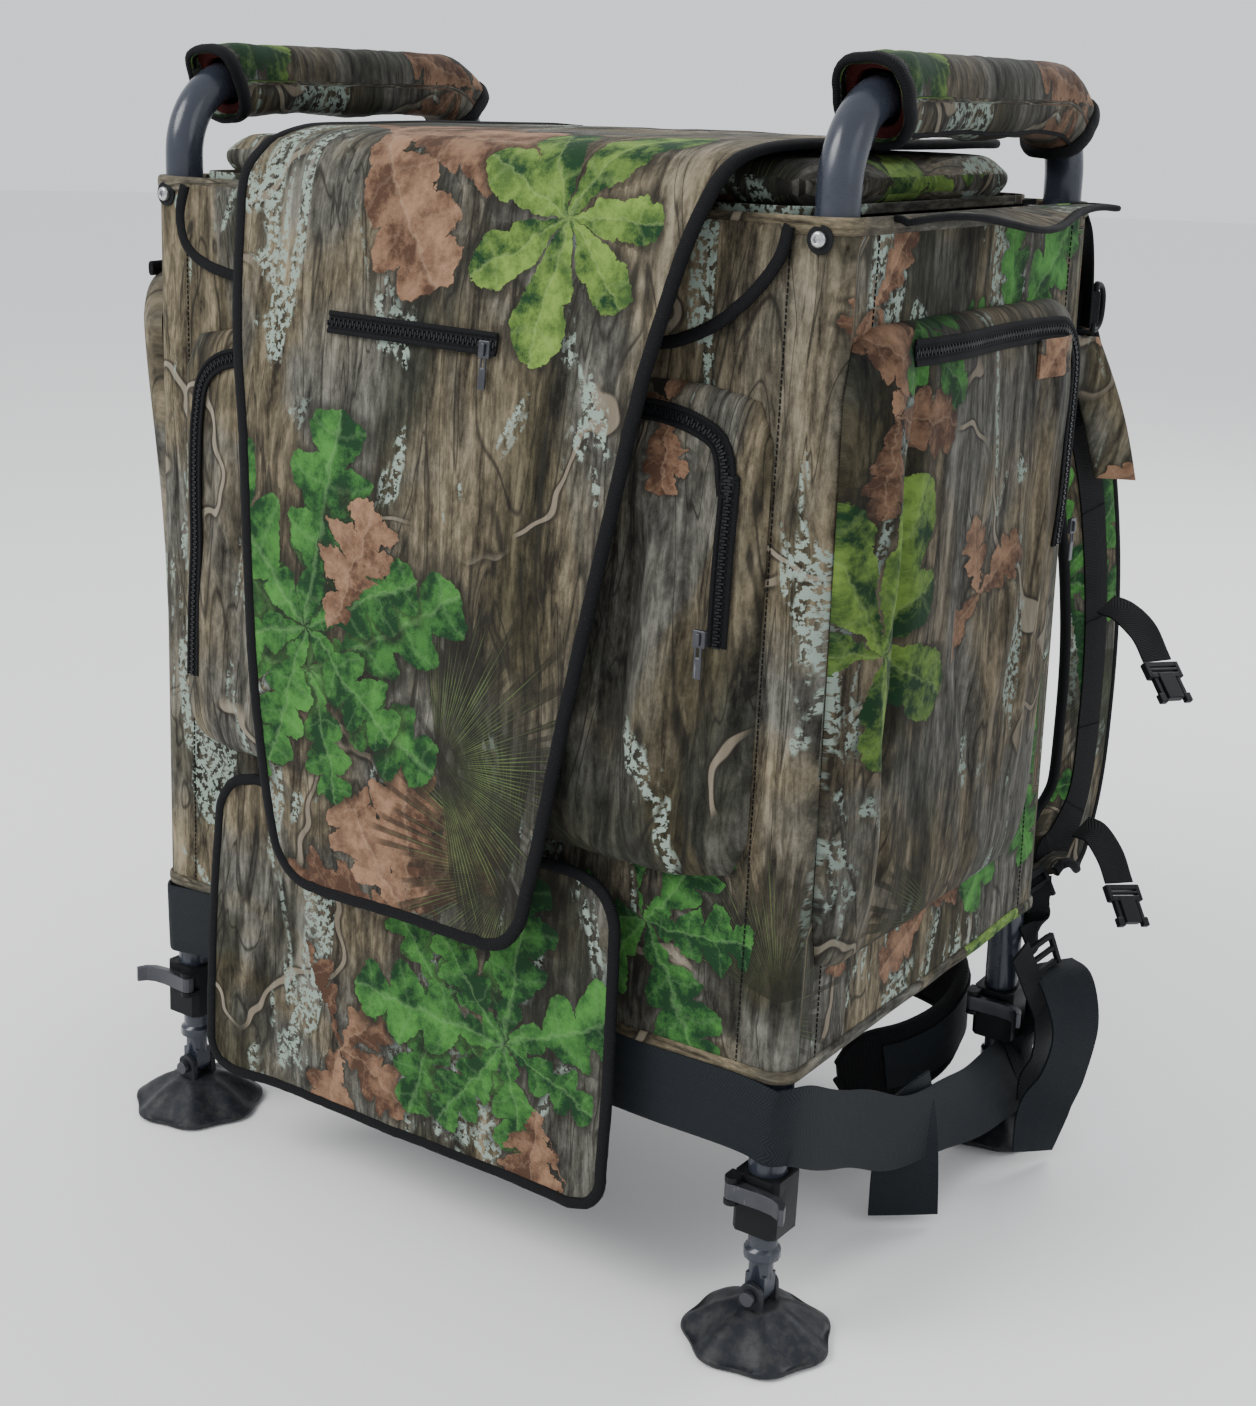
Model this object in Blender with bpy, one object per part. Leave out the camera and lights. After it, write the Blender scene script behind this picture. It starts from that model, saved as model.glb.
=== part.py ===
"""Four-legged hunting seat with a pack body: two bent-tube side frames, a fabric pack slung between them,
a padded seat on top, telescoping legs with lever locks and tilting mud feet, and carrying straps behind.

Metres, +Z up. The front faces -Y, the carrying straps are at +Y, and the feet stand on Z = 0.
"""

import math

import bmesh
import bpy
from mathutils import Matrix, Vector

# ---- driving dimensions -------------------------------------------------------------------------------
HALF_WIDTH = 0.256          # tube centre of a side frame, from the middle plane
HALF_DEPTH = 0.1553         # tube centre of a post, from the middle plane, at the corner bolts
BOLT_Z = 0.690              # height of the corner bolts
SPLAY = 0.03265             # how far a post moves outwards for each metre down
ARM_Z = 0.7665              # tube centre of the armrest
BEND_R = 0.052              # centreline radius of the armrest bends
TUBE_R = 0.0127             # 25.4 mm frame tube
TUBE_BORE_R = 0.0106
TUBE_END = 0.0985           # lower end of a post, measured along the leg
RAIL_R = 0.0095             # 19 mm cross rail
RAIL_BORE_R = 0.0083
RAIL_HALF = 0.2665
BOTTOM_RAIL_Z = 0.2055

LEG_R = 0.0095              # 19 mm inner leg
LEG_BORE_R = 0.0082
LEG_TOP = 0.360
STEM_R = 0.0080
COLLAR_R = 0.0120
PIN_Z = 0.0340              # foot pin, above the floor
PIN_R = 0.0030
PIN_HOLE_R = 0.0033
FOOT_R = 0.0505

LOCK_HALF = 0.0160          # lock housing, half of its square side
LOCK_Z = (0.0800, 0.1200)
LEVER_Z = (0.1045, 0.1155)
LEVER_PIVOT = (0.0130, 0.0212)   # inwards and forwards of the leg

BOLT_R = 0.0030
BOLT_HOLE_R = 0.0034

WALL = 0.0030               # pack fabric with its stiffener
WALL_OFF = 0.0162           # outer face of the pack, from the post centres
BAG_Z = (0.1880, 0.7000)
SEAT_DECK_Z = 0.6999
CUSHION_Z = (0.7032, 0.7330)
CUSHION_HALF_X = 0.2420

GAP = 0.0003                # clearance between pieces that rest on each other
SHEET = 0.0030              # flap thickness
WEB = 0.0026                # webbing thickness
ASSEMBLY_Y = -0.03725       # puts the middle of the whole depth at Y = 0

LEG_ANGLE = math.atan(SPLAY)
TUBE_SIDES = 14
CORNERS = {
    "front_left": (-1, -1),
    "front_right": (1, -1),
    "rear_left": (-1, 1),
    "rear_right": (1, 1),
}
SIDES = {"left": -1, "right": 1}


# ---- materials ----------------------------------------------------------------------------------------
def make_material(name, colour, roughness, metallic=0.0):
    material = bpy.data.materials.new(name)
    material.use_nodes = True
    shader = material.node_tree.nodes["Principled BSDF"]
    shader.inputs["Base Color"].default_value = (*colour, 1.0)
    shader.inputs["Roughness"].default_value = roughness
    shader.inputs["Metallic"].default_value = metallic
    return material


# ---- mesh helpers -------------------------------------------------------------------------------------
def add_object(name, bm, material, location=(0.0, 0.0, 0.0), rotation_x=0.0, smooth=False):
    """Turn a bmesh into a named object with its faces pointing outwards."""
    bmesh.ops.recalc_face_normals(bm, faces=bm.faces)
    mesh = bpy.data.meshes.new(name)
    bm.to_mesh(mesh)
    bm.free()
    if smooth:
        mesh.shade_smooth()
        mesh.set_sharp_from_angle(angle=math.radians(35.0))
    mesh.materials.append(material)
    obj = bpy.data.objects.new(name, mesh)
    obj.location = location
    obj.rotation_euler = (rotation_x, 0.0, 0.0)
    bpy.context.scene.collection.objects.link(obj)
    return obj


def add_hinged(name, bm, material, pivot):
    """Like add_object, with the object's origin on its pivot."""
    bmesh.ops.translate(bm, vec=-Vector(pivot), verts=bm.verts)
    return add_object(name, bm, material, pivot)


def combine(target, tool, operation):
    """Apply a Boolean to the target and remove the tool."""
    modifier = target.modifiers.new("Boolean", "BOOLEAN")
    modifier.operation = operation
    modifier.solver = "EXACT"
    modifier.object = tool
    bpy.context.view_layer.update()
    graph = bpy.context.evaluated_depsgraph_get()
    mesh = bpy.data.meshes.new_from_object(target.evaluated_get(graph))
    target.modifiers.clear()
    target.data = mesh
    bpy.data.objects.remove(tool, do_unlink=True)
    return target


def add_ring(bm, points):
    return [bm.verts.new(point) for point in points]


def bridge(bm, first, second):
    """Quads between two rings with the same number of points."""
    count = len(first)
    for i in range(count):
        j = (i + 1) % count
        bm.faces.new((first[i], first[j], second[j], second[i]))


def lofted(sections, closed=False):
    """One closed body through a list of rings."""
    bm = bmesh.new()
    rings = [add_ring(bm, section) for section in sections]
    for first, second in zip(rings, rings[1:]):
        bridge(bm, first, second)
    if closed:
        bridge(bm, rings[-1], rings[0])
    else:
        bm.faces.new(rings[0])
        bm.faces.new(rings[-1])
    return bm


def circle(radius, sides, z=0.0, phase=0.0):
    turn = 2.0 * math.pi / sides
    return [
        (radius * math.cos(phase + i * turn), radius * math.sin(phase + i * turn), z)
        for i in range(sides)
    ]


def turned(profile, sides=16):
    """A solid of revolution about Z; a radius of 0 closes an end."""
    bm = bmesh.new()
    rings = []
    for radius, z in profile:
        if radius == 0.0:
            rings.append([bm.verts.new((0.0, 0.0, z))])
        else:
            rings.append(add_ring(bm, circle(radius, sides, z)))
    for first, second in zip(rings, rings[1:]):
        if len(first) == 1 or len(second) == 1:
            pole, ring = (first[0], second) if len(first) == 1 else (second[0], first)
            for i in range(sides):
                bm.faces.new((pole, ring[i], ring[(i + 1) % sides]))
        else:
            bridge(bm, first, second)
    if len(rings[0]) > 1:
        bm.faces.new(rings[0])
    if len(rings[-1]) > 1:
        bm.faces.new(rings[-1])
    return bm


def prism(outline, z0, z1):
    """An outline in XY, extruded from z0 to z1."""
    return lofted([[(x, y, z) for x, y in outline] for z in (z0, z1)])


def box(x_range, y_range, z_range):
    outline = [
        (x_range[0], y_range[0]),
        (x_range[1], y_range[0]),
        (x_range[1], y_range[1]),
        (x_range[0], y_range[1]),
    ]
    return prism(outline, *z_range)


def fillet_path(corners, radius, steps):
    """A polyline whose inner corners become arcs."""
    path = [Vector(corners[0])]
    for before, corner, after in zip(corners, corners[1:], corners[2:]):
        corner = Vector(corner)
        back = (Vector(before) - corner).normalized()
        ahead = (Vector(after) - corner).normalized()
        half = back.angle(ahead) / 2.0
        reach = radius / math.tan(half)
        centre = corner + (back + ahead).normalized() * (radius / math.sin(half))
        start = corner + back * reach - centre
        end = corner + ahead * reach - centre
        sweep = start.angle(end)
        axis = start.cross(end)
        for i in range(steps + 1):
            path.append(centre + Matrix.Rotation(sweep * i / steps, 3, axis) @ start)
    path.append(Vector(corners[-1]))
    return path


def path_piece(path, start, end):
    """The stretch of a path between two lengths, keeping the path's own corners."""
    piece = []
    walked = 0.0
    for a, b in zip(path, path[1:]):
        length = (b - a).length
        for mark in (start, end):
            if walked <= mark <= walked + length:
                piece.append((mark, a.lerp(b, (mark - walked) / length)))
        walked += length
        if start < walked < end:
            piece.append((walked, b.copy()))
    piece.sort(key=lambda item: item[0])
    return [point for _, point in piece]


def smooth_path(points, per_span):
    """A Catmull-Rom curve through the points."""
    points = [Vector(point) for point in points]
    ends = [2.0 * points[0] - points[1], *points, 2.0 * points[-1] - points[-2]]
    path = []
    for a, b, c, d in zip(ends, ends[1:], ends[2:], ends[3:]):
        for i in range(per_span):
            t = i / per_span
            path.append(
                0.5 * (2.0 * b + (c - a) * t + (2.0 * a - 5.0 * b + 4.0 * c - d) * t * t
                       + (3.0 * b - a - 3.0 * c + d) * t * t * t)
            )
    path.append(points[-1])
    return path


def tangents(path):
    last = len(path) - 1
    return [(path[min(i + 1, last)] - path[max(i - 1, 0)]).normalized() for i in range(last + 1)]


def framed(path, section, side_axis):
    """Place a flat section, given as (across, out) pairs, square to a path at each of its points."""
    side_axis = Vector(side_axis)
    rings = []
    for point, tangent in zip(path, tangents(path)):
        out = tangent.cross(side_axis).normalized()
        across = out.cross(tangent).normalized()
        rings.append([point + across * a + out * b for a, b in section])
    return rings


def pipe(path, outer, inner, side_axis):
    """A tube along a path, open at both ends; outer and inner are sections with the same count."""
    outer_rings = framed(path, outer, side_axis)
    inner_rings = framed(path, inner, side_axis)
    return lofted(outer_rings + inner_rings[::-1], closed=True)


def round_section(radius, sides=TUBE_SIDES):
    return [(x, y) for x, y, _ in circle(radius, sides)]


def band(path, width_axes, width, thickness):
    """A flat strap: one width direction is given for each of the path's points."""
    rings = []
    for point, tangent, width_axis in zip(path, tangents(path), width_axes):
        across = (width_axis - tangent * width_axis.dot(tangent)).normalized() * (width / 2.0)
        out = tangent.cross(across).normalized() * (thickness / 2.0)
        rings.append([point - across - out, point + across - out, point + across + out, point - across + out])
    return lofted(rings)


def strap(points, width_axes, width, thickness, per_span=3):
    """A strap through a few points, its width direction turning smoothly from one to the next."""
    path = smooth_path(points, per_span)
    axes = smooth_path(width_axes, per_span)
    return band(path, axes, width, thickness)


def mirrored(points, side):
    return [(side * x, y, z) for x, y, z in points]


def post_y(z, front_or_rear):
    """Centre of a post at a height."""
    return front_or_rear * (HALF_DEPTH + SPLAY * (BOLT_Z - z))


def wall_y(z, off=0.0):
    """Outer face of the pack's front wall at a height, moved outwards by off."""
    return post_y(z, -1) - WALL_OFF - off


# ---- frame --------------------------------------------------------------------------------------------
def frame_path(side):
    x = side * HALF_WIDTH
    low = TUBE_END * math.cos(LEG_ANGLE)
    corners = [
        (x, post_y(low, -1), low),
        (x, post_y(ARM_Z, -1), ARM_Z),
        (x, post_y(ARM_Z, 1), ARM_Z),
        (x, post_y(low, 1), low),
    ]
    return fillet_path(corners, BEND_R, 6)


def leg_cylinder(name, fx, fy, radius, z0, z1, material, sides=TUBE_SIDES):
    """A rod on a leg's own axis, used to cut clearance for a post."""
    bm = prism(round_section(radius, sides), z0, z1)
    return add_object(name, bm, material, (fx * HALF_WIDTH, post_y(0.0, fy), 0.0), fy * LEG_ANGLE)


def bolt_cutter(fx, fy, material):
    bm = bmesh.new()
    sides = 10
    near = fy * (HALF_DEPTH - 0.060)
    far = fy * (HALF_DEPTH + 0.040)
    rings = []
    for y in (near, far):
        rings.append(
            add_ring(bm, [(fx * HALF_WIDTH + x, y, BOLT_Z + z) for x, z, _ in circle(BOLT_HOLE_R, sides)])
        )
    bridge(bm, *rings)
    bm.faces.new(rings[0])
    bm.faces.new(rings[1])
    return add_object("bolt_cutter", bm, material)


def make_side_frames(paint):
    for label, side in SIDES.items():
        bm = pipe(frame_path(side), round_section(TUBE_R), round_section(TUBE_BORE_R), (1.0, 0.0, 0.0))
        frame = add_object(f"side_frame_{label}", bm, paint, smooth=True)
        for fy in (-1, 1):
            combine(frame, bolt_cutter(side, fy, paint), "DIFFERENCE")


def make_rails(paint):
    for level, z in (("top", BOLT_Z), ("bottom", BOTTOM_RAIL_Z)):
        for label, fy in (("front", -1), ("rear", 1)):
            y = post_y(z, fy) - fy * (TUBE_R + RAIL_R + 0.0007)
            path = [Vector((-RAIL_HALF, y, z)), Vector((RAIL_HALF, y, z))]
            bm = pipe(path, round_section(RAIL_R, 12), round_section(RAIL_BORE_R, 12), (0.0, 0.0, 1.0))
            rail = add_object(f"{level}_rail_{label}", bm, paint, smooth=True)
            if level == "top":
                for fx in (-1, 1):
                    combine(rail, bolt_cutter(fx, fy, paint), "DIFFERENCE")


def make_corner_bolts(steel):
    """Button head, washer, shank and nut of the bolt through fabric, post and rail."""
    head = HALF_DEPTH + WALL_OFF + GAP
    nut = HALF_DEPTH - TUBE_R - 2.0 * RAIL_R - 0.0014
    profile = [
        (0.0, head + 0.0052),
        (0.0032, head + 0.0050),
        (0.0046, head + 0.0036),
        (0.0046, head + 0.0016),
        (0.0080, head + 0.0014),
        (0.0080, head),
        (BOLT_R, head),
        (BOLT_R, nut),
        (0.0055, nut),
        (0.0055, nut - 0.0050),
        (0.0, nut - 0.0050),
    ]
    for label, (fx, fy) in CORNERS.items():
        bolt = add_object(f"corner_bolt_{label}", turned(profile, 12), steel, smooth=True)
        bolt.location = (fx * HALF_WIDTH, 0.0, BOLT_Z)
        bolt.rotation_euler = (-fy * math.pi / 2.0, 0.0, 0.0)


# ---- legs ---------------------------------------------------------------------------------------------
def make_lock_housing(label, fx, fy, plastic):
    """Square clamp block with two lugs and a pin for its lever; the lever faces -Y on every leg."""
    pivot = (-fx * LEVER_PIVOT[0], -LEVER_PIVOT[1])
    place = (fx * HALF_WIDTH, post_y(0.0, fy), 0.0)
    c = 0.004
    h = LOCK_HALF
    outline = [
        (-h + c, -h), (h - c, -h), (h, -h + c), (h, h - c),
        (h - c, h), (-h + c, h), (-h, h - c), (-h, -h + c),
    ]
    housing = add_object(f"lock_housing_{label}", prism(outline, *LOCK_Z), plastic, place, fy * LEG_ANGLE)
    lugs = ((LEVER_Z[0] - 0.0040, LEVER_Z[0] - 0.0005), (LEVER_Z[1] + 0.0005, LOCK_Z[1] - 0.0004))
    lug = [(pivot[0] - 0.0050, pivot[1] + 0.0080)]
    for i in range(7):
        angle = math.pi + math.pi * i / 6.0
        lug.append((pivot[0] + 0.0050 * math.cos(angle), pivot[1] + 0.0050 * math.sin(angle)))
    lug.append((pivot[0] + 0.0050, pivot[1] + 0.0080))
    for z0, z1 in lugs:
        combine(housing, add_object("lug", prism(lug, z0, z1), plastic, place, fy * LEG_ANGLE), "UNION")
    pin = [(pivot[0] + x, pivot[1] + y) for x, y in round_section(0.0021, 10)]
    pin_rod = prism(pin, LEVER_Z[0] - 0.0020, LEVER_Z[1] + 0.0020)
    combine(housing, add_object("pin", pin_rod, plastic, place, fy * LEG_ANGLE), "UNION")
    for radius, z0, z1 in ((0.0131, TUBE_END - 0.0003, 0.130), (0.0099, 0.070, 0.110)):
        combine(housing, leg_cylinder("bore", fx, fy, radius, z0, z1, plastic), "DIFFERENCE")
    return housing


def make_lock_lever(label, fx, fy, metal):
    """Flat lever across the block's front, with an eye on the pin and a thumb end that hooks outwards."""
    eye = 0.0047
    outline = []
    for i in range(9):
        angle = math.radians(60.0 + 240.0 * i / 8.0)
        outline.append((eye * math.cos(angle), eye * math.sin(angle)))
    outline += [
        (0.0220, -0.0030), (0.0310, -0.0038), (0.0370, -0.0066), (0.0410, -0.0122), (0.0436, -0.0108),
        (0.0412, -0.0040), (0.0350, 0.0012), (0.0260, 0.0030),
    ]
    outline = [(fx * x, y) for x, y in outline]
    z0, z1 = LEVER_Z
    lever = add_object(f"lock_lever_{label}", prism(outline, z0, z1), metal)
    hole = add_object("hole", prism(round_section(0.0024, 10), z0 - 0.002, z1 + 0.002), metal)
    combine(lever, hole, "DIFFERENCE")
    base = Matrix.Translation((fx * HALF_WIDTH, post_y(0.0, fy), 0.0)) @ Matrix.Rotation(fy * LEG_ANGLE, 4, "X")
    lever.matrix_world = base @ Matrix.Translation((-fx * LEVER_PIVOT[0], -LEVER_PIVOT[1], 0.0))
    return lever


def pin_place(fx, fy):
    """World place of a foot pin, on the leg's axis."""
    return Vector((fx * HALF_WIDTH, post_y(PIN_Z, fy), PIN_Z))


def make_inner_leg(label, fx, fy, paint):
    """Thin tube that slides in the post, with a collar and a pinned eye at its lower end."""
    place = pin_place(fx, fy)
    profile = [
        (0.0, 0.0105),
        (STEM_R, 0.0105),
        (STEM_R, 0.0235),
        (COLLAR_R, 0.0250),
        (COLLAR_R, 0.0310),
        (LEG_R, 0.0330),
        (LEG_R, LEG_TOP - PIN_Z),
        (LEG_BORE_R, LEG_TOP - PIN_Z),
        (LEG_BORE_R, 0.045),
        (0.0, 0.045),
    ]
    leg = add_object(f"inner_leg_{label}", turned(profile, TUBE_SIDES), paint, place, fy * LEG_ANGLE, True)
    outline = [(-0.0072, 0.0135), (0.0072, 0.0135)]
    for i in range(9):
        angle = -math.pi * i / 8.0
        outline.append((0.0072 * math.cos(angle), 0.0072 * math.sin(angle)))
    sections = [[(x, y, z) for x, z in outline] for y in (-0.0068, 0.0068)]
    eye = add_object("eye", lofted(sections), paint, place, fy * LEG_ANGLE)
    combine(leg, eye, "UNION")
    combine(leg, pin_cutter(fx, fy, paint), "DIFFERENCE")
    return leg


def pin_cutter(fx, fy, material):
    sections = [[(x, y, z) for x, z, _ in circle(PIN_HOLE_R, 12)] for y in (-0.030, 0.030)]
    return add_object("pin_cutter", lofted(sections), material, pin_place(fx, fy), fy * LEG_ANGLE)


def make_foot(label, fx, fy, rubber):
    """Ribbed rubber dome with two ears for the pin; its underside is flat."""
    place = pin_place(fx, fy)
    lobes = 7
    sides = lobes * 4
    levels = [(1.00, 0.0, 1.0), (1.00, 0.0035, 1.0), (0.80, 0.0115, 0.9), (0.50, 0.0205, 0.5), (0.27, 0.0250, 0.0)]
    rings = []
    for share, z, wave in levels:
        ring = []
        for i in range(sides):
            angle = 2.0 * math.pi * i / sides
            radius = FOOT_R * share * (1.0 - 0.07 * wave * (0.5 - 0.5 * math.cos(lobes * angle)))
            ring.append((radius * math.cos(angle), radius * math.sin(angle), z - PIN_Z))
        rings.append(ring)
    foot = add_object(f"foot_{label}", lofted(rings), rubber, place)
    for y0 in (-0.0118, 0.0074):
        outline = [(-0.0075, -0.0115), (0.0075, -0.0115)]
        for i in range(7):
            angle = math.pi * i / 6.0
            outline.append((0.0075 * math.cos(angle), 0.0030 + 0.0060 * math.sin(angle)))
        sections = [[(x, y, z) for x, z in outline] for y in (y0, y0 + 0.0044)]
        combine(foot, add_object("ear", lofted(sections), rubber, place), "UNION")
    combine(foot, pin_cutter(fx, fy, rubber), "DIFFERENCE")
    return foot


def make_foot_pin(label, fx, fy, steel):
    profile = [
        (0.0, -0.0170),
        (0.0050, -0.0170),
        (0.0050, -0.0125),
        (PIN_R, -0.0125),
        (PIN_R, 0.0125),
        (0.0050, 0.0125),
        (0.0050, 0.0160),
        (0.0, 0.0160),
    ]
    pin = add_object(f"foot_pin_{label}", turned(profile, 12), steel, smooth=True)
    pin.matrix_world = (
        Matrix.Translation(pin_place(fx, fy))
        @ Matrix.Rotation(fy * LEG_ANGLE, 4, "X")
        @ Matrix.Rotation(-math.pi / 2.0, 4, "X")
    )
    return pin


def make_legs(paint, plastic, metal, rubber, steel):
    for label, (fx, fy) in CORNERS.items():
        make_lock_housing(label, fx, fy, plastic)
        make_lock_lever(label, fx, fy, metal)
        make_inner_leg(label, fx, fy, paint)
        make_foot(label, fx, fy, rubber)
        make_foot_pin(label, fx, fy, steel)


# ---- armrests -----------------------------------------------------------------------------------------
def make_armrest_sleeves(camo):
    """Padded wraps with a boxy outside and a round bore on the armrest tube."""
    outer = []
    for i in range(TUBE_SIDES):
        angle = 2.0 * math.pi * i / TUBE_SIDES
        c, s = math.cos(angle), math.sin(angle)
        reach = 1.0 / (abs(c) ** 3.2 + abs(s) ** 3.2) ** (1.0 / 3.2)
        outer.append((0.0215 * c * reach, 0.0240 * s * reach))
    inner = round_section(TUBE_R + 0.0006)
    for label, side in SIDES.items():
        path = frame_path(side)
        total = sum((b - a).length for a, b in zip(path, path[1:]))
        straight = (path[1] - path[0]).length
        piece = path_piece(path, straight + 0.048, total - straight - 0.022)
        bm = pipe(piece, outer, inner, (1.0, 0.0, 0.0))
        add_object(f"armrest_sleeve_{label}", bm, camo, smooth=True)


# ---- pack body ----------------------------------------------------------------------------------------
def pack_ring(z, off):
    """Rounded rectangle of the pack at a height; off is measured outwards from the post centres."""
    ring = []
    steps = 4
    for fx, fy, start in ((1, 1, 0.0), (-1, 1, 90.0), (-1, -1, 180.0), (1, -1, 270.0)):
        for i in range(steps + 1):
            angle = math.radians(start + 90.0 * i / steps)
            ring.append((fx * HALF_WIDTH + off * math.cos(angle), post_y(z, fy) + off * math.sin(angle), z))
    return ring


def make_bag_body(camo):
    low, high = BAG_Z
    sections = [
        pack_ring(low, WALL_OFF),
        pack_ring(high, WALL_OFF),
        pack_ring(high, WALL_OFF - WALL),
        pack_ring(low + WALL, WALL_OFF - WALL),
    ]
    bag = add_object("bag_body", lofted(sections), camo)
    for fx, fy in CORNERS.values():
        combine(bag, leg_cylinder("post_hole", fx, fy, TUBE_R + 0.0004, low - 0.02, low + 0.02, camo), "DIFFERENCE")
        combine(bag, bolt_cutter(fx, fy, camo), "DIFFERENCE")


def make_seat(camo, canvas):
    add_object("seat_deck", box((-0.240, 0.240), (-0.150, 0.150), (SEAT_DECK_Z, SEAT_DECK_Z + 0.0028)), canvas)
    low, high = CUSHION_Z
    x = CUSHION_HALF_X
    y0, y1 = -0.165, 0.150
    sections = []
    for inset, z in ((0.006, low), (0.0, low + 0.008), (0.0, high - 0.012), (0.004, high - 0.005), (0.013, high)):
        ring = []
        corner = 0.020 - inset * 0.5
        for cx, cy, start in ((x, y1, 0.0), (-x, y1, 90.0), (-x, y0, 180.0), (x, y0, 270.0)):
            fx = math.copysign(1.0, cx)
            fy = 1.0 if cy == y1 else -1.0
            for i in range(4):
                angle = math.radians(start + 30.0 * i)
                ring.append((
                    cx - fx * (inset + corner) + corner * math.cos(angle),
                    cy - fy * (inset + corner) + corner * math.sin(angle),
                    z,
                ))
        sections.append(ring)
    add_object("seat_cushion", lofted(sections), camo)


def make_pockets(camo):
    """The bulging front compartment and the two side pockets, each a filled closed shape."""
    z_levels = ((0.3070, 0.0), (0.3200, 0.8), (0.4200, 1.0), (0.5200, 1.0), (0.5900, 0.85), (0.6050, 0.0))
    front = ((0.3070, -0.2160), (0.6050, -0.2030))
    sections = []
    for z, share in z_levels:
        back = wall_y(z, GAP)
        slope = (z - front[0][0]) / (front[1][0] - front[0][0])
        face = front[0][1] + (front[1][1] - front[0][1]) * slope
        face = back - 0.012 + (face - back + 0.012) * share
        half = 0.235
        edge = 0.012
        sections.append([
            (-half, back, z), (half, back, z), (half, face + edge, z), (half - edge, face, z),
            (-half + edge, face, z), (-half, face + edge, z),
        ])
    add_object("front_pocket", lofted(sections), camo)
    for label, side in SIDES.items():
        sections = []
        for z, depth in ((0.2500, 0.008), (0.2700, 0.020), (0.4500, 0.022), (0.6200, 0.022), (0.6420, 0.010)):
            inner = HALF_WIDTH + WALL_OFF + GAP
            outer = inner + depth
            y0, y1 = -0.166, 0.140
            edge = min(0.010, depth * 0.8)
            ring = [
                (inner, y0), (outer - edge * 0.5, y0), (outer, y0 + edge), (outer, y1 - edge * 1.5),
                (outer - edge * 0.8, y1), (inner, y1),
            ]
            sections.append([(side * x, y, z) for x, y in ring])
        add_object(f"side_pocket_{label}", lofted(sections), camo)


def sheet_down(stations, thickness):
    """A sheet hung along a profile: stations are (y, z, reach to the left, reach to the right)."""
    path = [Vector((0.0, y, z)) for y, z, _, _ in stations]
    sections = []
    for point, tangent, station in zip(path, tangents(path), stations):
        out = Vector((1.0, 0.0, 0.0)).cross(tangent).normalized() * (thickness / 2.0)
        left = Vector((-station[2], 0.0, 0.0))
        right = Vector((station[3], 0.0, 0.0))
        sections.append([point + left - out, point + right - out, point + right + out, point + left + out])
    return lofted(sections)


def make_flaps(camo):
    yoke = [
        (wall_y(z, GAP + 0.0012), z, half, half)
        for z, half in ((0.6985, 0.240), (0.6700, 0.232), (0.6450, 0.210), (0.6300, 0.185), (0.6120, 0.160))
    ]
    add_object("yoke_flap", sheet_down(yoke, 0.0022), camo)
    flap = [
        (0.1500, 0.7365, 0.165, 0.216),
        (0.0500, 0.7372, 0.165, 0.217),
        (-0.0600, 0.7372, 0.162, 0.216),
        (-0.1450, 0.7365, 0.150, 0.213),
        (-0.1740, 0.7330, 0.148, 0.208),
        (-0.1860, 0.7230, 0.153, 0.203),
        (-0.1920, 0.7050, 0.161, 0.196),
        (-0.1980, 0.6700, 0.160, 0.184),
        (-0.2085, 0.6100, 0.155, 0.170),
        (-0.2155, 0.5500, 0.147, 0.160),
        (-0.2225, 0.4800, 0.139, 0.148),
        (-0.2275, 0.4000, 0.130, 0.131),
        (-0.2310, 0.3200, 0.120, 0.117),
        (-0.2330, 0.2800, 0.112, 0.108),
        (-0.2335, 0.2600, 0.104, 0.100),
        (-0.2338, 0.2480, 0.088, 0.086),
    ]
    add_hinged("main_flap", sheet_down(flap, SHEET), camo, (0.0, 0.1500, 0.7365))
    apron = [
        (-0.2055, 0.3000, 0.172, 0.136),
        (-0.2065, 0.2870, 0.187, 0.148),
        (-0.2090, 0.2200, 0.191, 0.161),
        (-0.2120, 0.1300, 0.195, 0.160),
        (-0.2140, 0.0850, 0.196, 0.158),
        (-0.2145, 0.0700, 0.180, 0.138),
    ]
    add_hinged("apron", sheet_down(apron, SHEET), camo, (0.0, -0.2055, 0.3000))
    lid = [(0.2730, -0.120), (0.3000, -0.080), (0.3060, -0.040), (0.3060, 0.105), (0.3000, 0.125), (0.2730, 0.128)]
    add_hinged("side_lid_right", prism(lid, 0.6975, 0.7000), camo, (0.2742, 0.0, 0.69875))


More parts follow.
